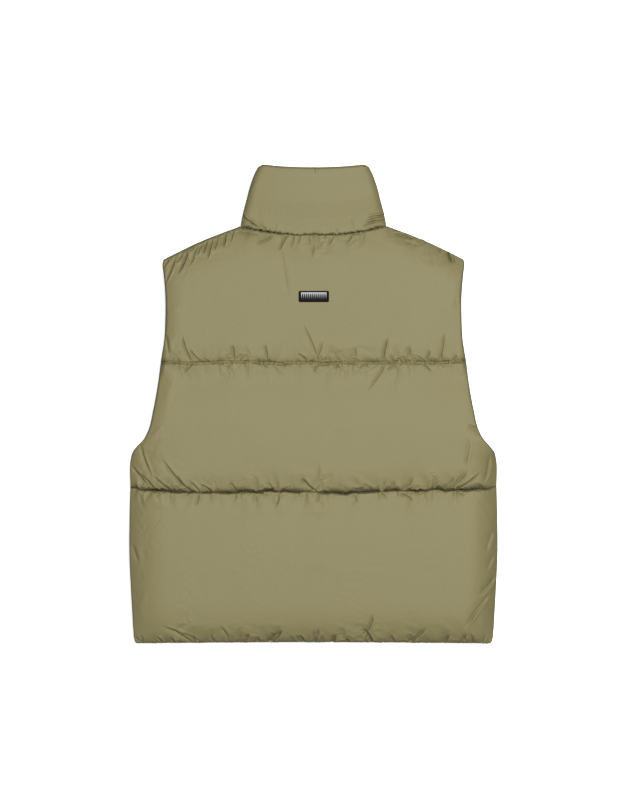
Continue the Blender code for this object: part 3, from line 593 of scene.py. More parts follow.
@dataclass(frozen=True)
class Pinches:
    """Short sharp creases that a seam's thread pulls into the cloth beside it, in metres."""

    count: int
    length: float
    depth: float
    half_width: float
    slant: float
    tail: float
    seed: int
    tries: int = 3
    rarest: float = 0.06
    shortest: float = 0.30
    shallowest: float = 0.25
    bow: float = 0.06
    past_seam: float = 0.0004
    length_spread: tuple[float, float] = (0.7, 1.3)
    width_spread: tuple[float, float] = (0.7, 1.5)

    def creases(self, place: Callable[[Array], Array], toward: int, reach: float) -> list[Crease]:
        """A seeded table of creases that start on the seam and run off it at a slant.

        Args:
            place: The seam's height at places along it.
            toward: 1 where the cloth lies above the seam, -1 where it lies below.
            reach: How far the seam runs to both sides of the middle.

        Returns:
            Rows for pressed, crowded where patches lets the cloth gather.
        """
        rng = np.random.default_rng(self.seed)
        tries = rng.uniform(-reach, reach, self.count * self.tries)
        chance = patches(tries, self.seed, self.rarest)
        kept = tries[rng.uniform(0, 1, len(tries)) < chance][: self.count]
        many = len(kept)
        sizes = rng.uniform(0.0, 1.0, many) ** self.tail
        lengths = self.length * (self.shortest + (1 - self.shortest) * sizes)
        lengths = lengths * rng.uniform(*self.length_spread, many)
        slants = rng.normal(0, self.slant, many)
        bows = rng.normal(0, self.bow, many) * lengths
        widths = self.half_width * rng.uniform(*self.width_spread, many)
        depths = self.depth * (self.shallowest + (1 - self.shallowest) * sizes)
        starts = (kept + slants * lengths, place(kept) + toward * lengths)
        ends = (kept, place(kept) - toward * self.past_seam)
        rows = np.stack([*starts, *ends, widths, depths, bows], axis=-1)
        return [Crease(*row) for row in (rows / MM).tolist()]


@dataclass(frozen=True)
class Gathers:
    """Small puckers that a seam draws into the cloth beside it, in metres."""

    count: int
    depth: float
    length: float
    half_width: float
    lean: float
    tail: float
    seed: int
    jitter: float = 0.45
    shoulder: float = 0.35
    shoulder_width: float = 2.6
    length_spread: tuple[float, float] = (0.4, 1.3)
    width_spread: tuple[float, float] = (0.7, 1.4)

    def taken(self, x: Array, distance: Array, low: float, high: float) -> Array:
        """Depth of the puckers: each is a bell between low shoulders, and a half bell along.

        Args:
            x: Places along the seam.
            distance: How far from the seam.
            low: Where the seam starts.
            high: Where it ends.

        Returns:
            Depths, in the shape of x.
        """
        rng = np.random.default_rng(self.seed)
        pitch = (high - low) / self.count
        strays = rng.uniform(-self.jitter, self.jitter, self.count)
        places = low + (np.arange(self.count) + 0.5 + strays) * pitch
        sizes = self.depth * rng.uniform(0.0, 1.0, self.count) ** self.tail
        lengths = self.length * rng.uniform(*self.length_spread, self.count)
        leans = rng.normal(0, self.lean, self.count)
        widths = self.half_width * rng.uniform(*self.width_spread, self.count)
        depth = np.zeros(np.broadcast(x, distance).shape)
        for place, size, length, lean, width in zip(places, sizes, lengths, leans, widths):
            across = (x - place - lean * distance) / width
            shoulders = self.shoulder * np.exp(-((across / self.shoulder_width) ** 2))
            bell = np.exp(-(across**2)) - shoulders
            depth += size * bell * np.exp(-((distance / length) ** 2))
        return depth


# --- Meshes ---


def grid_faces(rows: int, columns: int, first: int = 0, around: bool = False) -> Array:
    """Four corners for each cell of a grid whose points are counted row by row.

    Args:
        rows: Rows of points.
        columns: Columns of points.
        first: Index of the first point.
        around: Whether the last column joins the first.

    Returns:
        Corner indices [face, 4].
    """
    index = first + np.arange(rows * columns).reshape(rows, columns)
    right = np.roll(index, -1, axis=1)
    if not around:
        index, right = index[:, :-1], right[:, :-1]
    corners = (index[:-1], right[:-1], right[1:], index[1:])
    return np.stack(corners, axis=-1).reshape(-1, 4)


def mesh_of(name: str, points: Array, faces: Array) -> bpy.types.Mesh:
    """A mesh from arrays of points and of faces with equally many corners.

    Args:
        name: Its name.
        points: Places [point, 3].
        faces: Corner indices [face, corner].

    Returns:
        The mesh, shaded smooth.
    """
    mesh = bpy.data.meshes.new(name)
    faces = np.asarray(faces, np.int32)
    mesh.vertices.add(len(points))
    mesh.vertices.foreach_set("co", np.asarray(points, np.float32).ravel())
    mesh.loops.add(faces.size)
    mesh.loops.foreach_set("vertex_index", faces.ravel())
    mesh.polygons.add(len(faces))
    starts = np.arange(0, faces.size, faces.shape[1], dtype=np.int32)
    mesh.polygons.foreach_set("loop_start", starts)
    mesh.update(calc_edges=True)
    mesh.shade_smooth()
    return mesh


SQUARE = ((-1.0, -1.0), (1.0, -1.0), (1.0, 1.0), (-1.0, 1.0))


def block_faces(rings: int) -> Array:
    """Faces of a closed block whose points stand in rings of four.

    Args:
        rings: How many rings.

    Returns:
        Corner indices [face, 4], with both ends last.
    """
    ends = np.array(((3, 2, 1, 0), np.arange(4) + 4 * (rings - 1)))
    return np.concatenate([grid_faces(rings, 4, around=True), ends])


def copied(faces: Array, points: int, count: int) -> Array:
    """Faces of several copies of a mesh, whose points follow each other.

    Args:
        faces: One copy's corner indices [face, corner].
        points: How many points one copy has.
        count: How many copies.

    Returns:
        Corner indices [face, corner] of all of them.
    """
    first = points * np.arange(count)
    return (faces[None] + first[:, None, None]).reshape(-1, faces.shape[1])


@contextmanager
def editing(mesh: bpy.types.Mesh) -> Iterator[bmesh.types.BMesh]:
    """Opens a mesh for bmesh's own tools, and writes it back.

    Args:
        mesh: The mesh.

    Returns:
        A context that gives the open mesh.
    """
    bm = bmesh.new()
    bm.from_mesh(mesh)
    yield bm
    bm.to_mesh(mesh)
    bm.free()


def capped(mesh: bpy.types.Mesh) -> bpy.types.Mesh:
    """Closes the open ends of a tube with flat faces.

    Args:
        mesh: The tube, or several of them.

    Returns:
        The same mesh.
    """
    with editing(mesh) as bm:
        bmesh.ops.holes_fill(bm, edges=[e for e in bm.edges if e.is_boundary], sides=0)
    return mesh


def filled(mesh: bpy.types.Mesh) -> bpy.types.Mesh:
    """Closes a padded piece's open inside with triangles.

    Args:
        mesh: The piece.

    Returns:
        The same mesh, shaded smooth.
    """
    with editing(mesh) as bm:
        border = [e for e in bm.edges if e.is_boundary]
        bmesh.ops.triangle_fill(bm, edges=border, use_beauty=False)
    mesh.shade_smooth()
    return mesh


def shown(
    mesh: bpy.types.Mesh, finish: bpy.types.Material, outward: bool = True
) -> bpy.types.Object:
    """An object for a finished mesh, in the scene.

    Args:
        mesh: The mesh, whose name the object takes.
        finish: Its material.
        outward: Whether to turn its faces outwards first.

    Returns:
        The object.
    """
    if outward:
        with editing(mesh) as bm:
            bmesh.ops.recalc_face_normals(bm, faces=bm.faces)
    mesh.materials.clear()
    mesh.materials.append(finish)
    made = bpy.data.objects.new(mesh.name, mesh)
    bpy.context.scene.collection.objects.link(made)
    return made


def cloth_uv(points: Array) -> Array:
    """Metres along the cloth for a grid of points: arc lengths along its rows and its columns.

    Args:
        points: Places [row, column, 3].

    Returns:
        Pairs [row, column, 2].
    """
    across = np.linalg.norm(np.diff(points, axis=1), axis=2).mean(axis=0)
    along = np.linalg.norm(np.diff(points, axis=0), axis=2).mean(axis=1)
    u, v = (np.concatenate([[0], np.cumsum(steps)]) for steps in (across, along))
    return np.stack(np.broadcast_arrays(u[None, :] - u[-1] / 2, v[:, None]), axis=-1)


def set_uv(mesh: bpy.types.Mesh, pairs: Array) -> None:
    """Gives a mesh a UV map from one pair for each of its points.

    Args:
        mesh: The mesh.
        pairs: Pairs [point, 2].
    """
    corners = np.empty(len(mesh.loops), np.int32)
    mesh.loops.foreach_get("vertex_index", corners)
    layer = mesh.uv_layers.new(name="cloth")
    layer.data.foreach_set("uv", pairs[corners].astype(np.float32).ravel())


# --- Cloth simulation ---


@dataclass(frozen=True)
class ClothTest:
    """Values for the simulation that lets the slack beside the seams gather."""

    quality: int = 5
    mass: float = 0.02
    stretch: float = 15.0
    shear: float = 5.0
    bend: float = 0.05
    pressure: float = 1.0
    slack: float = 0.035
    support: float = 0.12
    support_from: float = 0.006
    support_over: float = 0.030
    support_power: float = 1.5
    frames: int = 20
    cap: float = 0.0040

    def settings(self) -> dict[str, float | str]:
        """What the cloth modifier's own settings are called, and their values.

        Returns:
            A value for each name.
        """
        return {
            "quality": self.quality,
            "mass": self.mass,
            "tension_stiffness": self.stretch,
            "compression_stiffness": self.stretch,
            "shear_stiffness": self.shear,
            "bending_stiffness": self.bend,
            "use_pressure": True,
            "uniform_pressure_force": self.pressure,
            "vertex_group_mass": "held",
            "vertex_group_shrink": "snug",
            "shrink_min": -self.slack,
            "shrink_max": 0.0,
        }


@dataclass
class Sheet:
    """A grid of cloth points, with a value of each kind for every point.

    from_edge is the distance from the nearest edge, snug is 0 where the cloth is cut with slack
    and 1 where it is not, and keep is the share of the simulated move that is kept.
    """

    name: str
    points: Array
    from_edge: Array
    snug: Array
    keep: Array


def weighted(obj: bpy.types.Object, name: str, weights: Array) -> None:
    """A vertex group whose weights are rounded to hundredths, so that it is made in few calls.

    Args:
        obj: The object.
        name: The group's name.
        weights: A weight for each point.
    """
    group = obj.vertex_groups.new(name=name)
    rounded = np.round(np.clip(weights.ravel(), 0, 1), 2)
    for weight in np.unique(rounded[rounded > 0]):
        members = np.nonzero(rounded == weight)[0]
        group.add(members.tolist(), float(weight), "REPLACE")


def hung(sheet: Sheet, test: ClothTest) -> bpy.types.Object:
    """A sheet as an object with a cloth modifier, sewn down along its edges.

    Args:
        sheet: The sheet.
        test: The simulation's values.

    Returns:
        The object.
    """
    rows, columns = sheet.points.shape[:2]
    mesh = mesh_of(sheet.name, sheet.points.reshape(-1, 3), grid_faces(rows, columns))
    obj = bpy.data.objects.new(sheet.name, mesh)
    bpy.context.scene.collection.objects.link(obj)
    edge = np.zeros((rows, columns), bool)
    edge[[0, -1]] = True
    edge[:, [0, -1]] = True
    inward = np.clip((sheet.from_edge - test.support_from) / test.support_over, 0, 1)
    held = test.support * inward**test.support_power
    weighted(obj, "held", np.where(edge, 1.0, held))
    weighted(obj, "snug", sheet.snug)
    cloth = obj.modifiers.new("cloth", "CLOTH")
    for name, value in test.settings().items():
        setattr(cloth.settings, name, value)
    cloth.settings.effector_weights.gravity = 0.0
    cloth.collision_settings.use_collision = False
    cloth.point_cache.frame_start = 1
    cloth.point_cache.frame_end = test.frames
    return obj


def gathered(sheets: Sequence[Sheet], test: ClothTest) -> list[Array]:
    """Simulates sheets that are sewn down along their edges, and says how far each point moved.

    The cloth is a little too large near its edges, so it puckers there, while the filling holds
    it up further in. All the sheets are simulated in one run, and the objects are removed. No
    move comes out longer than the cap: it is cap tanh(move / cap).

    Args:
        sheets: The sheets.
        test: The simulation's values.

    Returns:
        Moves [row, column, 3] for each sheet.
    """
    scene = bpy.context.scene
    made = [hung(sheet, test) for sheet in sheets]
    scene.frame_start, scene.frame_end = 1, test.frames
    for number in range(1, test.frames + 1):
        scene.frame_set(number)
    graph = bpy.context.evaluated_depsgraph_get()
    moves = []
    for obj, sheet in zip(made, sheets):
        result = obj.evaluated_get(graph).to_mesh()
        after = np.empty(len(result.vertices) * 3)
        result.vertices.foreach_get("co", after)
        moves.append(after.reshape(sheet.points.shape) - sheet.points)
    scene.frame_set(1)
    for obj in made:
        mesh = obj.data
        bpy.data.objects.remove(obj)
        bpy.data.meshes.remove(mesh)
    limited = [test.cap * np.tanh(move / test.cap) for move in moves]
    return [move * sheet.keep[..., None] for move, sheet in zip(limited, sheets)]


# --- Finishes ---


def set_inputs(node: bpy.types.Node, values: dict[str, object]) -> None:
    """Gives some of a node's inputs their values."""
    for name, value in values.items():
        node.inputs[name].default_value = value


class Wiring:
    """A short way to add nodes to a tree and to join them."""

    def __init__(self, tree: bpy.types.NodeTree) -> None:
        """Keeps the tree.

        Args:
            tree: A material's or a group's node tree.
        """
        self.tree = tree

    def add(self, kind: str, **values: object) -> bpy.types.Node:
        """A node of a kind, with its own settings.

        Args:
            kind: The node type's name without ShaderNode.
            **values: Settings, such as operation.

        Returns:
            The node.
        """
        node = self.tree.nodes.new(kind if kind.startswith("Node") else f"ShaderNode{kind}")
        for name, value in values.items():
            setattr(node, name, value)
        return node

    def join(self, source: bpy.types.NodeSocket, target: bpy.types.NodeSocket) -> None:
        """Links an output to an input."""
        self.tree.links.new(source, target)

    def math(self, operation: str, *values: bpy.types.NodeSocket | float) -> bpy.types.NodeSocket:
        """A Math node whose inputs are outputs of other nodes or numbers.

        Args:
            operation: The node's operation.
            *values: Outputs and numbers.

        Returns:
            The node's output.
        """
        node = self.add("Math", operation=operation)
        for slot, value in zip(node.inputs, values):
            if isinstance(value, (int, float)):
                slot.default_value = value
            else:
                self.join(value, slot)
        return node.outputs[0]

    def noise(
        self, vector: bpy.types.NodeSocket, scale: float, detail: float, rough: float
    ) -> bpy.types.NodeSocket:
        """A Noise Texture.

        Args:
            vector: Where to read it.
            scale: The texture's scale.
            detail: Its detail.
            rough: Its roughness.

        Returns:
            Its value's output.
        """
        node = self.add("TexNoise")
        self.join(vector, node.inputs["Vector"])
        set_inputs(node, {"Scale": scale, "Detail": detail, "Roughness": rough})
        return node.outputs["Fac"]

    def bump(
        self, height: bpy.types.NodeSocket, strength: float, distance: float
    ) -> bpy.types.Node:
        """A Bump node.

        Args:
            height: What it reads.
            strength: Its strength.
            distance: Its distance in metres.

        Returns:
            The node.
        """
        node = self.add("Bump")
        set_inputs(node, {"Strength": strength, "Distance": distance})
        self.join(height, node.inputs["Height"])
        return node

    def group(
        self, tree: bpy.types.NodeTree, vector: bpy.types.NodeSocket, scale: float
    ) -> bpy.types.Node:
        """A shared group in this tree.

        Args:
            tree: The group's own tree.
            vector: What it reads.
            scale: Its scale.

        Returns:
            The group's node.
        """
        node = self.add("Group", node_tree=tree)
        self.join(vector, node.inputs["Vector"])
        set_inputs(node, {"Scale": scale})
        return node

    def two_tones(
        self, mask: bpy.types.NodeSocket, low: Sequence[float], high: Sequence[float]
    ) -> bpy.types.NodeSocket:
        """A colour between two linear ones, by a mask.

        Args:
            mask: 0 for low, 1 for high.
            low: Linear colour.
            high: Linear colour.

        Returns:
            The mixed colour's output.
        """
        mix = self.add("Mix", data_type="RGBA")
        self.join(mask, mix.inputs["Factor"])
        for slot, tone in zip([s for s in mix.inputs if s.type == "RGBA"], (low, high)):
            slot.default_value = (*tone, 1.0)
        return next(s for s in mix.outputs if s.type == "RGBA")


def new_group(name: str, *outputs: str) -> tuple[Wiring, bpy.types.Node, bpy.types.Node]:
    """A node group that takes a vector and its scale, and gives some numbers.

    Args:
        name: The group's name.
        *outputs: The outputs' names.

    Returns:
        Its wiring, a node with the scaled vector, and the node that takes the outputs.
    """
    tree = bpy.data.node_groups.new(name, "ShaderNodeTree")
    tree.interface.new_socket(name="Vector", in_out="INPUT", socket_type="NodeSocketVector")
    tree.interface.new_socket(name="Scale", in_out="INPUT", socket_type="NodeSocketFloat")
    for output in outputs:
        tree.interface.new_socket(name=output, in_out="OUTPUT", socket_type="NodeSocketFloat")
    wire = Wiring(tree)
    start, end = wire.add("NodeGroupInput"), wire.add("NodeGroupOutput")
    scaled = wire.add("VectorMath", operation="SCALE")
    wire.join(start.outputs["Vector"], scaled.inputs[0])
    wire.join(start.outputs["Scale"], scaled.inputs["Scale"])
    return wire, scaled, end


def weave_group() -> bpy.types.NodeTree:
    """Plain weave: threads over and under each other, as a height and a tone.

    Each way's threads are a sine across them, cut by the other way's, and slightly uneven. The
    scale is the number of threads in a metre.

    Returns:
        The group's tree.
    """
    wire, scaled, end = new_group("plain_weave", "Height", "Tone")
    parts = wire.add("SeparateXYZ")
    wire.join(scaled.outputs[0], parts.inputs[0])
    warp = wire.math("SINE", wire.math("MULTIPLY", parts.outputs["X"], math.pi))
    weft = wire.math("SINE", wire.math("MULTIPLY", parts.outputs["Y"], math.pi))
    crossed = wire.math("MULTIPLY", warp, weft)
    height = wire.math("ABSOLUTE", crossed)
    unscaled = scaled.inputs[0].links[0].from_socket
    uneven = wire.noise(unscaled, scale=260.0, detail=2.0, rough=0.6)
    wire.join(wire.math("MULTIPLY", height, wire.math("ADD", uneven, 0.5)), end.inputs["Height"])
    wire.join(wire.math("MULTIPLY_ADD", crossed, 0.5, 0.5), end.inputs["Tone"])
    return wire.tree


def rumple_group() -> bpy.types.NodeTree:
    """Faint crumpling of thin cloth: two sizes of soft noise, as a height and a tone.

    Returns:
        The group's tree.
    """
    wire, scaled, end = new_group("rumple", "Height", "Tone")
    broad = wire.noise(scaled.outputs[0], scale=26.0, detail=2.0, rough=0.45)
    fine = wire.noise(scaled.outputs[0], scale=120.0, detail=3.0, rough=0.55)
    wire.join(wire.math("ADD", broad, wire.math("MULTIPLY", fine, 0.16)), end.inputs["Height"])
    tone = wire.noise(scaled.outputs[0], scale=9.0, detail=3.0, rough=0.5)
    wire.join(tone, end.inputs["Tone"])
    return wire.tree


def wear_group() -> bpy.types.NodeTree:
    """Fine scuffs for hard parts: contrasty noise, as a mask.

    Returns:
        The group's tree.
    """
    wire, scaled, end = new_group("scuffs", "Mask")
    speck = wire.noise(scaled.outputs[0], scale=1.0, detail=4.0, rough=0.6)
    wire.join(wire.math("MULTIPLY", wire.math("SUBTRACT", speck, 0.45), 4.0), end.inputs["Mask"])
    return wire.tree


@dataclass(frozen=True)
class Groups:
    """The node groups that the finishes share."""

    weave: bpy.types.NodeTree
    rumple: bpy.types.NodeTree
    scuffs: bpy.types.NodeTree

    @staticmethod
    def build() -> Groups:
        """Makes the groups once."""
        return Groups(weave_group(), rumple_group(), wear_group())


def new_material(name: str) -> tuple[bpy.types.Material, Wiring, bpy.types.Node]:
    """A material with nodes.

    Args:
        name: Its name.

    Returns:
        The material, its wiring and its shader.
    """
    made = bpy.data.materials.new(name)
    made.use_nodes = True
    return made, Wiring(made.node_tree), made.node_tree.nodes["Principled BSDF"]


@dataclass(frozen=True)
class ClothFinish:
    """A woven cloth with a soft sheen. Colours are linear."""

    name: str
    colour: Colour
    tone_spread: float
    roughness: float
    sheen: float
    threads: float
    weave_depth: float
    rumple_depth: float
    weave_tone: float = 0.35
    weave_share: float = 0.5
    rough_spread: float = 0.12
    weave_strength: float = 0.35
    rumple_strength: float = 0.6
    sheen_roughness: float = 0.45
    sheen_tint: Colour = (0.86, 0.88, 0.84)
    specular: float = 0.22

    def build(self, groups: Groups) -> bpy.types.Material:
        """The material.

        Args:
            groups: The shared node groups.

        Returns:
            A material whose weave follows the piece's own UV map.
        """
        made, wire, shader = new_material(self.name)
        along = wire.add("UVMap", uv_map="cloth").outputs["UV"]
        place = wire.add("TexCoord").outputs["Object"]
        weave = wire.group(groups.weave, along, self.threads)
        rumple = wire.group(groups.rumple, place, 1.0)
        darker = tuple(c * (1 - self.tone_spread) for c in self.colour)
        lighter = tuple(c * (1 + self.tone_spread) for c in self.colour)
        tone = wire.math("MULTIPLY_ADD", weave.outputs["Tone"], self.weave_tone, 0.5)
        tone = wire.math("MULTIPLY", tone, self.weave_share)
        mask = wire.math("ADD", rumple.outputs["Tone"], tone)
        wire.join(wire.two_tones(mask, darker, lighter), shader.inputs["Base Color"])
        rough = wire.math("SUBTRACT", rumple.outputs["Tone"], 0.5)
        rough = wire.math("MULTIPLY", rough, self.rough_spread)
        wire.join(wire.math("ADD", rough, self.roughness), shader.inputs["Roughness"])
        soft = wire.bump(rumple.outputs["Height"], self.rumple_strength, self.rumple_depth)
        fine = wire.bump(weave.outputs["Height"], self.weave_strength, self.weave_depth)
        wire.join(soft.outputs["Normal"], fine.inputs["Normal"])
        wire.join(fine.outputs["Normal"], shader.inputs["Normal"])
        values = {
            "Sheen Weight": self.sheen,
            "Sheen Roughness": self.sheen_roughness,
            "Sheen Tint": (*self.sheen_tint, 1.0),
            "Specular IOR Level": self.specular,
        }
        set_inputs(shader, values)
        return made


@dataclass(frozen=True)
class HardFinish:
    """A metal, plastic or rubber with fine scuffs, which are rougher. Colours are linear."""

    name: str
    colour: Colour
    # Colour of the scuffs, and where a fade is given, also of the painted shade.
    scuff_and_shade_colour: Colour
    roughness: float
    metallic: float
    scuff_scale: float
    bump: float
    specular: float = 0.5
    # Span of Y for a painted shade: darkest at its lower end, gone at its upper end.
    fade: tuple[float, float] | None = None
    rough_spread: float = 0.10
    bump_strength: float = 0.3
    scuffs_in_painted_shade: float = 0.15

    def build(self, groups: Groups) -> bpy.types.Material:
        """The material.

        Args:
            groups: The shared node groups.

        Returns:
            A material whose scuffs are set by Object coordinates.
        """
        made, wire, shader = new_material(self.name)
        place = wire.add("TexCoord").outputs["Object"]
        mask = wire.group(groups.scuffs, place, self.scuff_scale).outputs["Mask"]
        # Where a fade is given, a painted shade pulls the colour, roughness and bump towards the
        # dark end at low Y.
        if self.fade is not None:
            mask = self.with_painted_shade(wire, place, mask)
        wire.join(wire.two_tones(mask, self.colour, self.scuff_and_shade_colour), shader.inputs["Base Color"])
        rough = wire.math("MULTIPLY_ADD", mask, self.rough_spread, self.roughness)
        wire.join(rough, shader.inputs["Roughness"])
        bump = wire.bump(mask, self.bump_strength, self.bump)
        wire.join(bump.outputs["Normal"], shader.inputs["Normal"])
        set_inputs(shader, {"Metallic": self.metallic, "Specular IOR Level": self.specular})
        return made

    def with_painted_shade(
        self, wire: Wiring, place: bpy.types.NodeSocket, mask: bpy.types.NodeSocket
    ) -> bpy.types.NodeSocket:
        """The scuffs, faint, under a painted shade: 1 at the fade's lower end, 0 at its upper end.

        Args:
            wire: The material's wiring.
            place: Object coordinates.
            mask: The scuffs' mask.

        Returns:
            The new mask.
        """
        parts = wire.add("SeparateXYZ")
        wire.join(place, parts.inputs[0])
        fall = wire.add("MapRange")
        wire.join(parts.outputs["Y"], fall.inputs["Value"])
        low, high = self.fade
        set_inputs(fall, {"From Min": low, "From Max": high, "To Min": 1.0, "To Max": 0.0})
        left = wire.math("MULTIPLY", mask, self.scuffs_in_painted_shade)
        return wire.math("ADD", fall.outputs["Result"], left)


SHELL = ClothFinish(
    "olive_nylon", (0.155, 0.137, 0.0625), 0.025, 0.60, 0.01, 3600.0, 0.00003, 0.0004
)
TAPE = ClothFinish(
    "zip_tape_cloth", (0.124, 0.108, 0.053), 0.08, 0.80, 0.10, 1400.0, 0.00015, 0.0002
)
THREAD = ClothFinish(
    "olive_thread", (0.140, 0.123, 0.058), 0.10, 0.60, 0.05, 2600.0, 0.00006, 0.0001
)
TEETH = HardFinish(
    "olive_moulded_plastic", (0.135, 0.118, 0.068), (0.17, 0.15, 0.09), 0.92, 0.0, 700.0, 0.00004
)
METAL = HardFinish(
    "dark_satin_metal", (0.26, 0.26, 0.27), (0.36, 0.36, 0.37), 0.80, 1.0, 1500.0, 0.00003
)
RUBBER = HardFinish(
    "black_rubber", (0.004, 0.0035, 0.003), (0.009, 0.008, 0.007), 1.00, 0.0, 1200.0, 0.00005,
    specular=0.12,
)
# Bright metal with a painted shade: dark towards the hem, its own colour at the top, where the
# bars catch the light.
SILVER = HardFinish(
    "ribbed_metal_painted_shade", (0.78, 0.78, 0.79), (0.10, 0.098, 0.11), 0.74, 1.0, 1800.0, 0.00003,
    fade=(0.1600, 0.1678),
)


@dataclass(frozen=True)
class Finishes:
    """The built materials."""

    shell: bpy.types.Material
    tape: bpy.types.Material
    thread: bpy.types.Material
    teeth: bpy.types.Material
    metal: bpy.types.Material
    rubber: bpy.types.Material
    silver: bpy.types.Material

    @staticmethod
    def build() -> Finishes:
        """Makes every material once.

        Returns:
            The materials.
        """
        groups = Groups.build()
        rows = (SHELL, TAPE, THREAD, TEETH, METAL, RUBBER, SILVER)
        return Finishes(*(row.build(groups) for row in rows))


# --- Padded channels ---


@dataclass(frozen=True)
class Line:
    """One long edge of a channel: where it runs, how it is sewn and how the padding leaves it."""

    place: Callable[[Array, Side], Array]
    seam: Seam
    broad: Gathers
    fine: Gathers
    pinches: Pinches
    seed: int
    above: Roll | None = None
    under: Roll | None = None
    ends: Pair | None = None
    thick: float = PADDING.seam_thick
    thick_reach: float = 0.036
    fade: float = PADDING.seam_fade
    pulls: Table = ()
    wander: float = 1.0
    end_wander: float = 1.0

    def thick_at(self, x: Array) -> Array | float:
        """Thickness along the line: even, or as its table of pulls in millimetres says.

        Args:
            x: Places along the line.

        Returns:
            Thicknesses in metres.
        """
        if not self.pulls:
            return self.thick
        at, thick = np.array(self.pulls).T * MM
        return np.interp(x, at, thick)

    def past_neck(self, x: Array) -> Array:
        """0 beside the neck, 1 past it on both sides."""
        neck = PATTERN.neck_point[0]
        return smooth_step(np.abs(x), PATTERN.neck_end * neck, neck)

    def strayed(self, x: Array) -> Array:
        """The line's small wander, whose share may differ past the neck."""
        share = self.wander + (self.end_wander - self.wander) * self.past_neck(x)
        return share * PATTERN.wavy(x, self.seed)

    def wandered(self, x: Array, side: Side) -> Array:
        """The line with its small wander."""
        return self.place(x, side) + self.strayed(x)

    def share(self, x: Array, distance: Array, above: bool) -> Array:
        """Share of the full thickness beside the line, on the roll for each stretch of it.

        Args:
            x: Places along the line.
            distance: How far from it.
            above: Whether the cloth lies above the line.

        Returns:
            Shares from 0 to 1.
        """
        if above:
            return self.above.share(distance)
        middle = self.under.share(distance)
        if self.ends is None:
            return middle
        return middle + self.past_neck(x) * (self.ends.share(x, distance) - middle)


LOWER_PULLS = (
    (-280, 5.0), (-271, 5.0), (-267, 21.0), (-260, 7.0), (-225, 6.5), (-185, 7.5), (-177, 21.0),
    (-171, 25.0), (-164, 12.0), (-158, 8.0), (-152, 25.0), (-145, 12.0), (-120, 7.5), (-112, 4.5),
    (-100, 5.5), (-85, 5.5), (-66, 4.5), (-60, 7.0), (-53, 25.0), (-46, 6.5), (-35, 5.0),
    (-22, 8.0), (-12, 21.0), (0, 25.0), (8, 21.0), (14, 12.0), (35, 6.0), (47, 4.5), (97, 5.5),
    (101, 24.0), (106, 24.0), (110, 7.5), (126, 7.0), (132, 21.0), (141, 21.0), (147, 7.5),
    (162, 6.5), (174, 18.0), (185, 7.0), (192, 5.5), (208, 5.0), (215, 21.0), (221, 6.0),
    (230, 4.0), (280, 3.5),
)
SIDE_SEAM = Pair(Roll(0.33, 0.003, 0.066), Roll(0.03, 0.003, 0.054))
ARMHOLE = Pair(Roll(0.78, 0.005, 0.033), Roll(0.90, 0.005, 0.033))
HEM = Line(
    lambda x, side: PATTERN.hem(x),
    Seam.TURNED,
    Gathers(30, 0.0045, 0.020, 0.0062, 0.25, 2.4, 11),
    Gathers(72, 0.0060, 0.0050, 0.0018, 0.45, 2.6, 53),
    Pinches(52, 0.0150, 0.0036, 0.0014, 0.55, 1.6, 211),
    seed=5,
    above=Roll(1.0, 0.070, 1.0),
    wander=0.4,
    end_wander=0.4,
)
LOWER = Line(
    PATTERN.lower_seam,
    Seam.PLAIN,
    Gathers(30, 0.0040, 0.016, 0.0056, 0.30, 2.4, 23),
    Gathers(110, 0.0030, 0.0048, 0.0013, 0.60, 1.9, 61),
    Pinches(50, 0.0130, 0.0021, 0.0012, 0.70, 1.7, 223),
    seed=19,
    above=Roll(0.72, 0.010, 0.043),
    under=Roll(0.85, 0.0030, 0.108),
    thick_reach=0.020,
    pulls=LOWER_PULLS,
    wander=0.35,
    end_wander=0.35,
)
UPPER = Line(
    PATTERN.upper_seam,
    Seam.RIDGED,
    Gathers(34, 0.0026, 0.012, 0.0050, 0.30, 2.4, 37),
    Gathers(190, 0.0030, 0.0040, 0.0011, 0.70, 1.6, 71),
    Pinches(110, 0.0105, 0.0021, 0.0011, 0.80, 1.7, 237),
    seed=31,
    above=Roll(0.74, 0.009, 0.033),
    under=Roll(0.58, 0.005, 0.108),
    thick=0.0222,
    fade=0.009,
)
TOP = Line(
    PATTERN.top,
    Seam.TURNED,
    Gathers(34, 0.0024, 0.012, 0.0048, 0.25, 2.4, 41),
    Gathers(120, 0.0022, 0.0050, 0.0013, 0.50, 2.0, 83),
    Pinches(70, 0.0120, 0.0019, 0.0012, 0.60, 1.8, 241),
    seed=44,
    under=Roll(0.61, 0.004, 0.057),
    ends=Pair(Roll(0.50, 0.0065, 0.070), Roll(0.50, 0.004, 0.056)),
    wander=1.1,
    end_wander=0.4,
)


@dataclass(frozen=True)
class Working:
    """How the padded channels' cloth is worked: fades and gaps in metres, the rest as shares."""

    crowd_up: float = 0.62
    crowd_across: float = 0.12
    least_thick: float = 0.9
    off_inside: float = 0.002
    loose_size: float = 0.4
    neck_lean: float = 0.12
    neck_ends: tuple[float, float] = (0.80, 0.93)
    neck_left: tuple[float, float] = (-0.095, -0.040)
    neck_left_share: float = 0.35
    armhole_fade: tuple[float, float] = (0.006, 0.020)
    ridge_fade: float = 0.010
    gather_fade: float = 0.012
    pinch_fade: float = 0.010
    pinch_widen: float = 0.9
    pinch_reach: float = 0.97
    under_length: float = 0.7
    crease_depth: float = 2.4
    crease_fade: tuple[float, float] = (-0.002, 0.006)
    trough_depth: float = 0.38
    trough_sharp: float = 2.0
    trough_widen: float = 2.4
    slack_fade: tuple[float, float] = (0.003, 0.030)
    side_snug: float = 0.70
    keep_fade: tuple[float, float] = (-0.010, 0.030)
    back_sheet: tuple[int, int] = (64, 132)
    front_sheet: tuple[int, int] = (42, 44)
    back_grid: tuple[int, int] = (142, 680)
    front_grid: tuple[int, int] = (96, 200)


WORK = Working()
FAR = 1.0


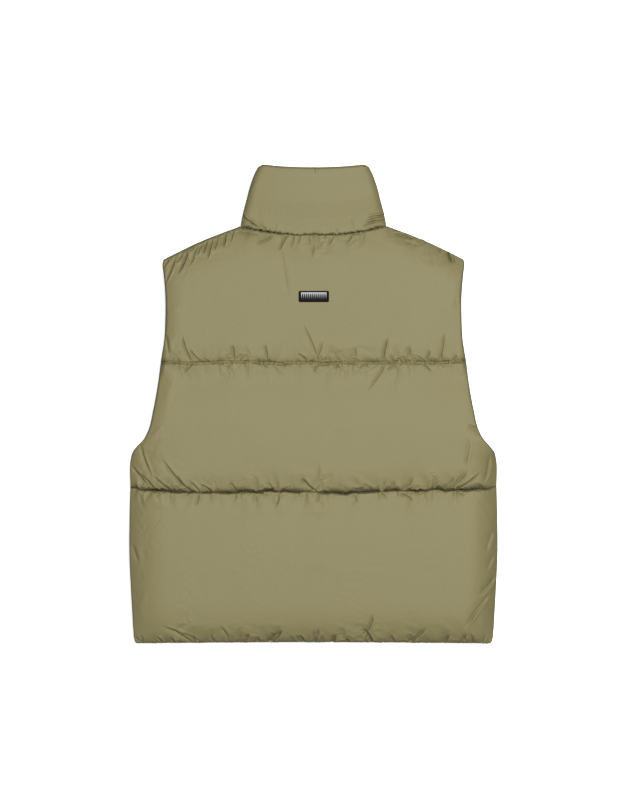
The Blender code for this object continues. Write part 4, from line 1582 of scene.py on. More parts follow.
@dataclass
class Channel:
    """One padded channel of the back or of a front, between two lines."""

    name: str
    side: Side
    low: Line
    high: Line
    side_low: float
    side_high: float
    creases: Sequence[Crease]
    grid: tuple[int, int]
    moves: Array | None = None
    borders: tuple[Array, Array] | None = None

    @property
    def node(self) -> str:
        """The name of the solid that this piece stands for."""
        return f"{self.side.value}_{self.name}"

    @property
    def ends(self) -> tuple[tuple[Line, bool], tuple[Line, bool]]:
        """The low line and the high line, each with whether the cloth lies above it."""
        return (self.low, True), (self.high, False)

    def places(self, rows: int, columns: int) -> tuple[Array, Array]:
        """x and y of a grid over the channel, closer together at its seams.

        Args:
            rows: Rows of points.
            columns: Columns of points.

        Returns:
            x and y [row, column].
        """
        up = crowded(rows, WORK.crowd_up)[:, None]
        side_y = self.side_low + up[:, 0] * (self.side_high - self.side_low)
        half = PATTERN.half_width(side_y, self.side)[:, None]
        share = crowded(columns, WORK.crowd_across)[None, :]
        start = -half if self.side is Side.BACK else np.full_like(half, PATTERN.front_edge_x)
        x = start + share * (half - start)
        low, high = self.bounds(x)
        return x, low + up * (high - low)

    def bounds(self, x: Array) -> tuple[Array, Array]:
        """The lowest and highest y of the cloth at places across, just off both seam lines."""
        gap = PADDING.seam_gap / 6
        return self.low.wandered(x, self.side) + gap, self.high.wandered(x, self.side) - gap

    def edges(self, x: Array, y: Array) -> tuple[Array, Array, Array, Array]:
        """Distances from the low line, the high line, the side edge and the zip.

        Args:
            x: Places across.
            y: Places along.

        Returns:
            Four arrays of distances. The back is far from the zip everywhere.
        """
        half = PATTERN.half_width(np.clip(y, self.side_low, self.side_high), self.side)
        from_zip = np.full_like(x, FAR) if self.side is Side.BACK else x - PATTERN.front_edge_x
        low = y - self.low.place(x, self.side)
        high = self.high.place(x, self.side) - y
        return np.maximum(low, 0), np.maximum(high, 0), np.maximum(half - np.abs(x), 0), from_zip

    def floor_thick(self, x: Array, low: Array, high: Array, aside: Array) -> Array:
        """Thickness where a crown's rise is 0: the seams' own.

        Beside a ridged seam it is more where the cloth is loose, and below the collar it is more
        in the middle than towards the left end and the shoulders.

        Args:
            x: Places across.
            low: Distances from the low line.
            high: Distances from the high line.
            aside: Distances from the side edge.

        Returns:
            Thicknesses.
        """
        thick = np.full(low.shape, PADDING.seam_thick)
        for line, distance in ((self.low, low), (self.high, high)):
            extra = line.thick_at(x) - PADDING.seam_thick
            extra = extra * (1 - smooth_step(distance, 0, line.thick_reach))
            if line.seam is Seam.RIDGED:
                tight = patches(x, line.seed + (line is self.low), 0.0, WORK.loose_size)
                loose = 1 - smooth_step(distance, 0, 2 * PADDING.ridge_rise)
                extra = extra + PADDING.ridge_rise * (loose * (1 - tight))
            thick = thick + extra * smooth_step(aside, 0, line.fade)
        if self.side is Side.BACK and self.high is TOP:
            near = 1 - smooth_step(high, 0, 2 * PADDING.neck_thick)
            ends = np.abs(x) / PATTERN.neck_point[0] - WORK.neck_lean * (x > 0)
            by_neck = 1 - smooth_step(ends, *WORK.neck_ends)
            left = WORK.neck_left_share
            by_neck = by_neck * (left + (1 - left) * smooth_step(x, *WORK.neck_left))
            thick = thick + (PADDING.neck_thick - PADDING.seam_thick) * near * by_neck
        return thick

    def crown(self, x: Array, y: Array) -> Array:
        """Thickness of the plain crown: the product of the rises from every edge.

        Args:
            x: Places across.
            y: Places along.

        Returns:
            Thicknesses, with a small roll along a ridged seam.
        """
        low, high, aside, from_zip = self.edges(x, y)
        full = np.ones(x.shape)
        rolls = np.zeros(x.shape)
        for (line, above), distance in zip(self.ends, (low, high)):
            ledge = PADDING.ridge_half_width if line.seam is Seam.RIDGED else 0.0
            full *= line.share(x, np.maximum(distance - ledge, 0), above)
            if ledge:
                inside = np.clip(distance / ledge, 0, 1)
                roll = PADDING.ridge_height * np.sqrt(1 - inside**2)
                rolls += roll * smooth_step(aside, 0, WORK.ridge_fade)
        (start, stop), (below, over) = PATTERN.underarm, WORK.armhole_fade
        by_armhole = smooth_step(y, start - below, stop + over)
        by_seam = SIDE_SEAM.share(x, aside)
        full *= by_seam + by_armhole * (ARMHOLE.share(x, aside) - by_seam)
        full *= PADDING.rise(from_zip, PADDING.front_edge_rise)
        arch = 4 * low * high / np.maximum(low + high, 1e-6) ** 2
        full *= 1 - PADDING.crown_share * (1 - arch)
        floor = self.floor_thick(x, low, high, np.minimum(aside, from_zip))
        thick = PADDING.back_full if self.side is Side.BACK else PADDING.front_full
        if self.side is not Side.BACK:
            full = np.minimum(PADDING.press * full, 1)
        return floor + (thick - floor) * full + rolls

    def sunk(self, x: Array, y: Array, fine: bool) -> Array:
        """Depth that the seams' gathers take from the crown.

        Args:
            x: Places across.
            y: Places along.
            fine: The small puckers, or the broad gathers.

        Returns:
            Depths.
        """
        low, high, aside, _ = self.edges(x, y)
        reach = PATTERN.side_x
        depth = np.zeros(x.shape)
        for line, distance in ((self.low, low), (self.high, high)):
            row = line.fine if fine else line.broad
            depth += row.taken(x, distance, -reach, reach)
        return depth * smooth_step(aside, 0.0, WORK.gather_fade)

    def outer(self, x: Array, y: Array, depth: Array) -> Array:
        """Points of the outside, a depth under the crown.

        Args:
            x: Places across.
            y: Places along.
            depth: How much is taken from the crown.

        Returns:
            Points [row, column, 3].
        """
        least = PADDING.seam_thick * WORK.least_thick
        thickness = np.maximum(self.crown(x, y) - depth, least)
        level = PADDING.inside(self.side) + self.side.facing * thickness
        return np.stack([x, y, level], axis=-1)

    def sheet(self) -> Sheet:
        """The channel's outside as a coarse sheet, for the simulation.

        Its cloth is slack beside the seams and the hem, in some stretches more than in others,
        and nearly snug at the side edges. The face of a front points down, so its columns are
        turned round.

        Returns:
            The sheet.
        """
        x, y = self.places(*(WORK.back_sheet if self.side is Side.BACK else WORK.front_sheet))
        low, high, aside, from_zip = self.edges(x, y)
        nearest = np.minimum(np.minimum(low, high), np.minimum(aside, from_zip))
        points = self.outer(x, y, self.sunk(x, y, False) + self.troughs(x, y))
        by_seams = smooth_step(np.minimum(low, high), *WORK.slack_fade)
        by_sides = smooth_step(np.minimum(aside, from_zip), *WORK.slack_fade)
        by_sides = WORK.side_snug + (1 - WORK.side_snug) * by_sides
        snug = np.minimum(by_seams, by_sides)
        keep = np.where(low < high, patches(x, self.low.seed), patches(x, self.high.seed))
        keep = keep * smooth_step(aside, *WORK.keep_fade)
        grids = (points, nearest, snug, keep)
        return Sheet(self.node, *(grid[:, :: self.side.facing] for grid in grids))

    def troughs(self, x: Array, y: Array) -> Array:
        """The soft wide part of each crease."""
        wide = pressed(x, y, self.creases, WORK.trough_sharp, WORK.trough_widen)
        return WORK.trough_depth * wide

    def pinched(self, x: Array, y: Array) -> Array:
        """Depth of the short creases at both seams, whose tables are a little unlike each other.

        Args:
            x: Places across.
            y: Places along.

        Returns:
            Depths, which fade at the side edges.
        """
        reach = PATTERN.side_x * WORK.pinch_reach
        rows = self.low.pinches.creases(lambda x: self.low.place(x, self.side), 1, reach)
        high = self.high.pinches
        fewer, shorter = high.count * 2 // 3, high.length * WORK.under_length
        under = replace(high, seed=high.seed + 1, count=fewer, length=shorter)
        rows += under.creases(lambda x: self.high.place(x, self.side), -1, reach)
        _, _, aside, _ = self.edges(x, y)
        fade = smooth_step(aside, 0.0, WORK.pinch_fade)
        return pressed(x, y, rows, widen=WORK.pinch_widen) * fade

    def build(self, finish: bpy.types.Material) -> bpy.types.Object:
        """The finished piece: the outside, its rim and its plain inside, as one closed mesh.

        Args:
            finish: The shell cloth.

        Returns:
            The object, in place of its solid.
        """
        x, y = self.places(*self.grid)
        _, _, aside, _ = self.edges(x, y)
        fade = smooth_step(aside, *WORK.crease_fade)
        sharp = WORK.crease_depth * pressed(x, y, self.creases) * fade
        depth = self.sunk(x, y, False) + self.troughs(x, y)
        depth += self.sunk(x, y, True) + self.pinched(x, y) + sharp
        points = self.outer(x, y, depth)
        if self.moves is not None:
            points = points + finer(self.moves[:, :: self.side.facing], *self.grid)
        points = self.kept_in(points)
        rim = self.rim_level(points)
        points[..., 0] *= self.side.mirror
        self.borders = (points[0], points[-1])
        mesh = closed_sheet(self.node + "_cloth", points, rim)
        made = shown(mesh, finish)
        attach(made, VEST)
        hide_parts(self.node)
        LOG.info("%s: %d faces", made.name, len(mesh.polygons))
        return made

    def rim_level(self, points: Array) -> Array:
        """Height of the inside under each point of the sheet.

        It is the plain inside, but where the back is sewn to a front, down the sides and along
        the shoulders, both come together at the middle of the layers.

        Args:
            points: Points of the outside.

        Returns:
            Heights [row, column].
        """
        x, y = np.abs(points[..., 0]), points[..., 1]
        sewn = np.zeros(x.shape)
        sewn[:, -1] = 1 - smooth_step(y[:, -1], *PATTERN.underarm)
        if self.side is Side.BACK:
            sewn[:, 0] = sewn[:, -1]
        if self.high.seam is Seam.TURNED:
            sewn[-1] = np.maximum(sewn[-1], x[-1] >= PATTERN.neck_point[0])
        inside = PADDING.inside(self.side)
        meeting = PADDING.middle + self.side.facing * PADDING.seam_gap / 3
        return inside + sewn * (meeting - inside)

    def kept_in(self, points: Array) -> Array:
        """Keeps the cloth between its seams, off the inside and above the surface below.

        Args:
            points: Points of the outside.

        Returns:
            The points, moved where they must be.
        """
        x, y, level = np.moveaxis(points, -1, 0)
        if self.side is Side.BACK:
            level = np.maximum(level, PADDING.back_inside + WORK.off_inside)
        else:
            level = np.maximum(np.minimum(level, PADDING.front_full - WORK.off_inside), 0.0)
        return np.stack([x, np.clip(y, *self.bounds(x)), level], axis=-1)


def closed_sheet(name: str, points: Array, inside: Array) -> bpy.types.Mesh:
    """Closes a sheet with an upright rim and a plain inside.

    Args:
        name: The mesh's name.
        points: The sheet's points [row, column, 3].
        inside: Height of the inside under each point, of which the border's are read.

    Returns:
        The closed mesh, with the cloth's UV map.
    """
    rows, columns = points.shape[:2]
    index = np.arange(rows * columns).reshape(rows, columns)
    border = np.concatenate([index[0], index[1:, -1], index[-1, -2::-1], index[-2:0:-1, 0]])
    flat = points.reshape(-1, 3)
    below = flat[border].copy()
    below[:, 2] = inside.ravel()[border]
    rim = len(flat) + np.arange(len(border))
    sides = np.stack([border, rim, np.roll(rim, -1), np.roll(border, -1)], axis=-1)
    faces = np.concatenate([grid_faces(rows, columns), sides])
    mesh = mesh_of(name, np.concatenate([flat, below]), faces)
    pairs = cloth_uv(points).reshape(-1, 2)
    set_uv(mesh, np.concatenate([pairs, pairs[border]]))
    return filled(mesh)


def channels() -> list[Channel]:
    """The nine padded channels.

    Returns:
        The back's and then each front's, from the hem up.
    """
    side_seam = PATTERN.lower_seam_y + PATTERN.lower_seam_rise
    made = []
    for side in Side:
        back = side is Side.BACK
        grid = WORK.back_grid if back else WORK.front_grid
        rows = (
            ("lower", HEM, LOWER, PATTERN.hem_y, side_seam, LOWER_CREASES),
            ("middle", LOWER, UPPER, side_seam, PATTERN.upper_seam_y, MIDDLE_CREASES),
            ("yoke", UPPER, TOP, PATTERN.upper_seam_y, PATTERN.shoulder_tip[1], YOKE_CREASES),
        )
        for name, low, high, side_low, side_high, creases in rows:
            creases = creases if back else FRONT_CREASES
            made.append(Channel(name, side, low, high, side_low, side_high, creases, grid))
    return made


# --- Collar ---


@dataclass
class Collar:
    """The stand collar: a flattened padded tube round the neck, open at the centre front."""

    corner_y: float = 0.3660
    back_top_y: float = 0.3621
    front_top_y: float = 0.3110
    inner_radius: float = 0.0007
    fold_share: float = 0.72
    drop_lower: float = 0.0095
    drop_upper: float = 0.0065
    drop_from: float = 0.05
    drop_to: float = 0.60
    seam_rise: float = 0.0034
    top_rise: float = 0.0068
    base_share: float = 0.54
    edge: Table = (
        (0.00, 0.1115), (0.15, 0.1095), (0.43, 0.1030), (0.72, 0.0954), (0.91, 0.0877),
        (0.97, 0.0840), (1.00, 0.0790),
    )
    bends: tuple[float, ...] = (0.0, 0.12, 0.24, 0.36, 0.48, 0.60, 1.0)
    broad: Gathers = Gathers(16, 0.0016, 0.008, 0.0050, 0.25, 2.0, 91)
    fine: Gathers = Gathers(90, 0.0024, 0.0036, 0.0013, 0.50, 1.8, 97)
    pinches: Pinches = Pinches(26, 0.0090, 0.0016, 0.0011, 0.60, 1.6, 251)
    rows: int = 100
    front_columns: int = 72
    fold_columns: int = 20
    back_columns: int = 260
    crowd_up: float = 0.5
    crowd_front: float = 0.3
    corner_power: float = 2.3
    end_powers: tuple[int, int] = (8, 24)
    slim_powers: tuple[float, float] = (2.2, 3.0)
    under_shift: float = 0.4
    pinch_reach: float = 0.95
    least_thick: float = 0.9
    thin: int = 3
    snug_least: float = 0.55
    snug_more: float = 0.45
    snug_fade: tuple[float, float] = (0.002, 0.016)
    keep_most: float = 0.35
    keep_less: float = 0.22
    keep_fade: tuple[float, float] = (0.008, 0.028)
    moves: Array | None = None

    def turns(self, thin: int = 1) -> Array:
        """Where each column stands: its share across, and which way its outside faces.

        Args:
            thin: Takes every so many columns.

        Returns:
            Rows of (across, angle), from the left front edge round to the right one.
        """
        start = PATTERN.front_edge_x / PATTERN.neck_point[0]
        shares = crowded(self.front_columns // thin, self.crowd_front)
        front = start + (1 - start) * shares[:-1]
        left = np.linspace(270, 90, self.fold_columns // thin + 2)[1:-1]
        right = np.linspace(90, -90, self.fold_columns // thin + 2)[1:-1]
        back = np.linspace(-1, 1, self.back_columns // thin)
        side = np.ones_like(left)
        across = np.concatenate([-front, -side, back, side, front[::-1]])
        down, up = np.full_like(front, -90), np.full_like(back, 90)
        angle = np.concatenate([down, left, up, right, down])
        return np.stack([across, np.radians(angle)], axis=-1)

    def drop(self, heights: Array) -> Array:
        """Share of the collar's drop, straight from bend to bend."""
        bends = np.array(self.bends)
        return np.interp(heights, bends, smooth_step(bends, self.drop_from, self.drop_to))

    def surface(self, turns: Array, heights: Array, fine: bool) -> tuple[Array, Array, Array]:
        """The collar's outside and its plain inside.

        A column's middle line leans in as the collar narrows and sinks to the surface. Both
        sides lie off it along the column's outward direction.

        Args:
            turns: Rows of (across, angle).
            heights: Shares of the collar's height.
            fine: Whether to press in the small puckers and the creases.

        Returns:
            Outside and inside points [height, column, 3], and distances from the nearest edge.
        """
        across, angle = turns[:, 0][None, :], turns[:, 1][None, :]
        up = heights[:, None]
        lower = (1 - np.sin(angle)) / 2
        narrow = self.inner_radius + PADDING.seam_thick
        x0 = across * (self.edge[0][1] - narrow) + narrow * np.cos(angle)
        base = (1 - lower) * PATTERN.back_neck(x0) + lower * PATTERN.front_neck(x0)
        base = base + PADDING.seam_gap / 2 + TOP.strayed(x0)
        away = np.abs(across) ** self.corner_power
        back = self.back_top_y + (self.corner_y - self.back_top_y) * away
        front = self.front_top_y + (self.corner_y - self.front_top_y) * away
        length = (1 - lower) * back + lower * front - base
        along = up * length
        ends = np.abs(across) ** np.where(across < 0, *self.end_powers)
        floor = self.base_share * smooth_step(np.sin(angle), 0.0, 1.0) * (1 - ends)
        full = floor + (1 - floor) * PADDING.rise(along, self.seam_rise)
        full = full * PADDING.rise(length - along, self.top_rise)
        reach = PATTERN.neck_point[0]
        around = x0 + self.under_shift * lower
        sunk = self.broad.taken(around, along, -reach, reach + self.under_shift)
        extra = PADDING.collar_full - PADDING.seam_thick
        at_fold = PADDING.seam_thick + extra * full * self.fold_share
        slim = np.abs(across) ** np.where(across < 0, *self.slim_powers)
        share = 1 - (1 - self.fold_share) * slim
        across_zip = np.abs(across) * PATTERN.neck_point[0] - PATTERN.front_edge_x
        from_zip = np.where(lower > 0.5, across_zip, FAR)
        share = share * PADDING.rise(np.maximum(from_zip, 0), PADDING.front_edge_rise)
        thick = PADDING.seam_thick + extra * full * share
        half = through(self.edge, up) - self.inner_radius - at_fold
        drop = (1 - lower) * self.drop_upper + lower * self.drop_lower
        level = PADDING.middle - drop * self.drop(up)
        out = np.stack(np.broadcast_arrays(np.cos(angle), 0 * angle, np.sin(angle)), axis=-1)
        middle = np.stack(np.broadcast_arrays(across * half, base + along, level), axis=-1)
        inside = middle + self.inner_radius * out
        rough = inside + thick[..., None] * out
        if fine:
            sunk = sunk + self.fine.taken(around, along, -reach, reach + self.under_shift)
            top = smooth_step(np.sin(angle), 0.0, 0.5)
            short = self.pinches.creases(PATTERN.back_neck, 1, reach * self.pinch_reach)
            short = [row for row in short if abs(row.x) * MM < reach]
            sunk = sunk + top * pressed(rough[..., 0], rough[..., 1], [*COLLAR_CREASES, *short])
        thick = np.maximum(thick - sunk, PADDING.seam_thick * self.least_thick)
        outside = inside + thick[..., None] * out
        outside[..., 2] = np.maximum(outside[..., 2], 0.0)
        nearest = np.minimum(np.minimum(along, length - along), from_zip)
        return outside, inside, nearest

    def sheet(self) -> Sheet:
        """The collar's outside as a coarse sheet, for the simulation.

        Returns:
            The sheet.
        """
        heights = crowded(self.rows // self.thin, self.crowd_up)
        outside, _, nearest = self.surface(self.turns(self.thin), heights, False)
        snug = self.snug_least + self.snug_more * smooth_step(nearest, *self.snug_fade)
        keep = self.keep_most - self.keep_less * smooth_step(nearest, *self.keep_fade)
        return Sheet("collar", outside[:, ::-1], nearest[:, ::-1], snug[:, ::-1], keep)

    def build(self, finish: bpy.types.Material) -> bpy.types.Object:
        """The finished collar, as one closed mesh.

        Args:
            finish: The shell cloth.

        Returns:
            The object, in place of its solid.
        """
        turns = self.turns()
        outside, _, _ = self.surface(turns, crowded(self.rows, self.crowd_up), True)
        _, inside, _ = self.surface(turns, np.array(self.bends)[::-1], False)
        if self.moves is not None:
            outside = outside + finer(self.moves[:, ::-1], self.rows, len(turns))
            outside[..., 2] = np.maximum(outside[..., 2], 0.0)
        section = np.concatenate([outside, inside]).swapaxes(0, 1)
        count, points = section.shape[:2]
        faces = grid_faces(count, points, around=True)
        mesh = mesh_of("collar_cloth", section.reshape(-1, 3), faces)
        pairs = cloth_uv(outside.swapaxes(0, 1))
        tail = np.repeat(pairs[:, -1:], inside.shape[0], axis=1)
        set_uv(mesh, np.concatenate([pairs, tail], axis=1).reshape(-1, 2))
        made = shown(filled(mesh), finish)
        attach(made, VEST)
        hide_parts("collar")
        LOG.info("%s: %d faces", made.name, len(mesh.polygons))
        return made

    def zip_level(self, y: Array) -> Array:
        """Height of the zip's middle: level down the body, then sinking with the collar."""
        height = (y - PATTERN.front_neck_y) / (self.front_top_y - PATTERN.front_neck_y)
        return PADDING.middle - self.drop_lower * self.drop(height)


# --- Sewing ---


@dataclass(frozen=True)
class Stitching:
    """Rows of lock stitches along the quilting seams, in metres."""

    pitch: float = 0.0034
    length: float = 0.0027
    thick: float = 0.00048
    sink: float = 0.00035
    inset: float = 0.006
    even_over: int = 5
    sections: int = 5
    sides: int = 6
    taper: float = 0.8
    near: float = 0.0004

    def build(self, padded: Sequence[Channel], finish: bpy.types.Material) -> None:
        """A row between each channel and the next one up on the same part of the vest.

        Args:
            padded: The built channels, from the hem up on each part.
            finish: The thread.
        """
        for below, above in zip(padded, padded[1:]):
            if below.side is above.side:
                self.row(below, above, finish)

    def seam_path(self, below: Channel, above: Channel) -> Array:
        """The seam's line: midway between both borders, on the higher one's evened-out level.

        Args:
            below: The channel under the seam.
            above: The channel over it.

        Returns:
            Points [point, 3].
        """
        under, over = below.borders[1], above.borders[0]
        path = (under + over) / 2
        facing = below.side.facing
        level = facing * np.maximum(facing * under[:, 2], facing * over[:, 2])
        pad = self.even_over // 2
        window = np.ones(self.even_over) / self.even_over
        level = np.convolve(np.pad(level, pad, mode="edge"), window, mode="valid")
        path[:, 2] = np.maximum(level, self.thick)
        return path

    def row(self, below: Channel, above: Channel, finish: bpy.types.Material) -> None:
        """One row: for each stitch, a tube on the seam's line whose ends dip into the cloth.

        At t from -1 to 1 along a stitch, its middle is thick / 4 - sink t^4 off the line, and
        its radius is thick / 2 times sqrt(1 - taper t^6).

        Args:
            below: The channel under the seam.
            above: The channel over it.
            finish: The thread.
        """
        path = self.seam_path(below, above)
        run = np.concatenate([[0], np.cumsum(np.linalg.norm(np.diff(path, axis=0), axis=1))])
        count = int((run[-1] - 2 * self.inset) / self.pitch)
        t = np.linspace(-1, 1, self.sections)
        middle = self.inset + (np.arange(count) + 0.5) * self.pitch
        along = middle[:, None] + t[None] * self.length / 2

        def at(distance: Array) -> Array:
            """Places on the path."""
            return np.stack([np.interp(distance, run, path[:, k]) for k in range(3)], axis=-1)

        tangent = at(along + self.near) - at(along - self.near)
        tangent = tangent / np.linalg.norm(tangent, axis=-1, keepdims=True)
        up = np.array((0.0, 0.0, float(below.side.facing)))
        aside = np.cross(tangent, up)
        centre = at(along) + (self.thick / 4 - self.sink * t**4)[None, :, None] * up
        radius = self.thick / 2 * np.sqrt(1 - self.taper * t**6)
        turn = np.linspace(0, 2 * np.pi, self.sides, endpoint=False)
        spokes = np.cos(turn)[:, None] * aside[:, :, None] + np.sin(turn)[:, None] * up
        points = centre[:, :, None] + radius[None, :, None, None] * spokes
        shell = grid_faces(self.sections, self.sides, around=True)
        faces = copied(shell, self.sections * self.sides, count)
        name = f"{below.side.value}_{below.name}_stitches"
        mesh = mesh_of(name, points.reshape(-1, 3), faces)
        around = np.broadcast_to(turn * self.thick / 2, points.shape[:3])
        pairs = np.stack([np.broadcast_to(along[..., None], points.shape[:3]), around], axis=-1)
        set_uv(mesh, pairs.reshape(-1, 2))
        made = shown(capped(mesh), finish)
        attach(made, VEST)
        LOG.info("%s: %d stitches", made.name, count)


# --- Zip ---


@dataclass
class Zip:
    """The closed zip: two tapes, two rows of moulded teeth, and its metal parts."""

    collar: Collar
    tape_from_x: float = 0.0033
    tape_to_x: float = 0.0150
    tape_half_thick: float = 0.0004
    pitch: float = 0.0030
    tooth_length: float = 0.0021
    tooth_top: float = 0.0004
    tooth_bottom: float = -0.0020
    bottom_y: float = -0.3522
    teeth_top_y: float = 0.3060
    tape_top_y: float = 0.3107
    tape_grid: tuple[int, int] = (240, 28)
    level_step: int = 4
    edge_powers: tuple[float, float] = (0.6, 0.35)
    tooth: Table = (
        (-0.0009, 0.55), (-0.0006, 0.9), (0.0004, 1.0), (0.0012, 0.75), (0.0026, 0.75),
        (0.0030, 0.6),
    )
    tall_least: float = 0.55
    tall_more: float = 0.45
    row_starts: Table = ((1, 0.5), (-1, 1.0))

    def build(self, finishes: Finishes) -> None:
        """Makes the tapes and the teeth, and dresses the metal parts.

        Args:
            finishes: The materials.
        """
        for name, side in (("left", -1), ("right", 1)):
            self.tape(name, side, finishes.tape)
        self.teeth(finishes.teeth)
        dress(("zip_box",), finishes.teeth)
        dress(("zip_slider", "zip_pull"), finishes.metal)

    def tape(self, name: str, side: int, finish: bpy.types.Material) -> None:
        """One tape: a thin closed strip that follows the zip's level, with rounded edges.

        Its section is a superellipse, whose cosine and sine are each raised to a power. Where
        the tape is level, only some of its rows are made.

        Args:
            name: left or right.
            side: -1 or 1.
            finish: The tape's cloth.
        """
        rows, columns = self.tape_grid
        y = np.linspace(self.bottom_y, self.tape_top_y, rows)
        turn = np.linspace(0, 2 * np.pi, columns, endpoint=False)
        wide, tall = self.edge_powers
        half = (self.tape_to_x - self.tape_from_x) / 2
        centre = (self.tape_to_x + self.tape_from_x) / 2
        across = centre - half * np.sign(np.cos(turn)) * np.abs(np.cos(turn)) ** wide
        thick = self.tape_half_thick * np.sign(np.sin(turn)) * np.abs(np.sin(turn)) ** tall
        level = self.collar.zip_level(y)
        falls = level[1:] < level[:-1]
        made_rows = np.arange(rows) % self.level_step == 0
        made_rows |= np.append(falls, True) | np.insert(falls, 0, True)
        y, level = y[made_rows], level[made_rows]
        parts = np.broadcast_arrays(side * across[None], y[:, None], level[:, None] + thick)
        points = np.stack(parts, axis=-1).reshape(-1, 3)
        faces = grid_faces(len(y), columns, around=True)
        mesh = mesh_of(f"zip_tape_{name}_cloth", points, faces)
        set_uv(mesh, points[:, :2])
        made = shown(capped(mesh), finish)
        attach(made, VEST)
        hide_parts(f"zip_tape_{name}")

    def teeth(self, finish: bpy.types.Material) -> None:
        """Two rows of teeth, each a small block with a rounded head past the middle.

        One tooth is a row of rectangles at places across, with their sizes as shares of the
        full one, and its copies stand along the zip in one array.

        Args:
            finish: The teeth's plastic.
        """
        sections, square = np.array(self.tooth), np.array(SQUARE)
        middle = (self.tooth_top + self.tooth_bottom) / 2
        tall = (self.tooth_top - self.tooth_bottom) / 2
        ring = np.empty((len(sections), 4, 3))
        ring[..., 0] = sections[:, :1]
        ring[..., 1] = square[None, :, 0] * self.tooth_length / 2 * sections[:, 1:]
        level = self.tall_least + self.tall_more * sections[:, 1:]
        ring[..., 2] = middle + square[None, :, 1] * tall * level
        count = int((self.teeth_top_y - self.bottom_y - self.pitch) / self.pitch)
        groups = []
        for side, start in self.row_starts:
            y = self.bottom_y + (np.arange(count) + start) * self.pitch
            tooth = ring.reshape(-1, 3) * (side, 1, 1)
            shift = np.stack([0 * y, y, self.collar.zip_level(y)], axis=-1)
            groups.append(tooth[None] + shift[:, None])
        points = np.concatenate(groups).reshape(-1, 3)
        faces = copied(block_faces(len(ring)), len(ring) * 4, 2 * count)
        mesh = mesh_of("zip_teeth_rows", points, faces)
        mesh.shade_flat()
        made = shown(mesh, finish)
        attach(made, VEST)
        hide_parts("zip_teeth")
        LOG.info("%s: %d teeth", made.name, 2 * count)


def dress(nodes: Sequence[str], finish: bpy.types.Material) -> None:
    """Gives solids that keep their own shape a better finish.

    Args:
        nodes: Their names.
        finish: The material.
    """
    for name in nodes:
        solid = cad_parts[name]
        for place in solid.material_slots:
            place.material = finish
        LOG.info("%s: keeps its shape", name)


# --- Badge ---


def rounded_outline(width: float, height: float, corner: float, steps: int = 8) -> Array:
    """A rectangle with quarter circles at its corners.

    Args:
        width: Along X.
        height: Along Y.
        corner: The circles' radius.
        steps: Points on each quarter.

    Returns:
        Points [point, 2], counter-clockwise.
    """
    turn = np.radians(np.linspace(0, 90, steps))
    quarter = corner * np.stack([np.cos(turn), np.sin(turn)], axis=-1)
    parts = []
    for k, (sx, sy) in enumerate(((1, 1), (-1, 1), (-1, -1), (1, -1))):
        c, s = math.cos(k * math.pi / 2), math.sin(k * math.pi / 2)
        centre = np.array((sx * (width / 2 - corner), sy * (height / 2 - corner)))
        parts.append(centre + quarter @ np.array(((c, s), (-s, c))))
    return np.concatenate(parts)


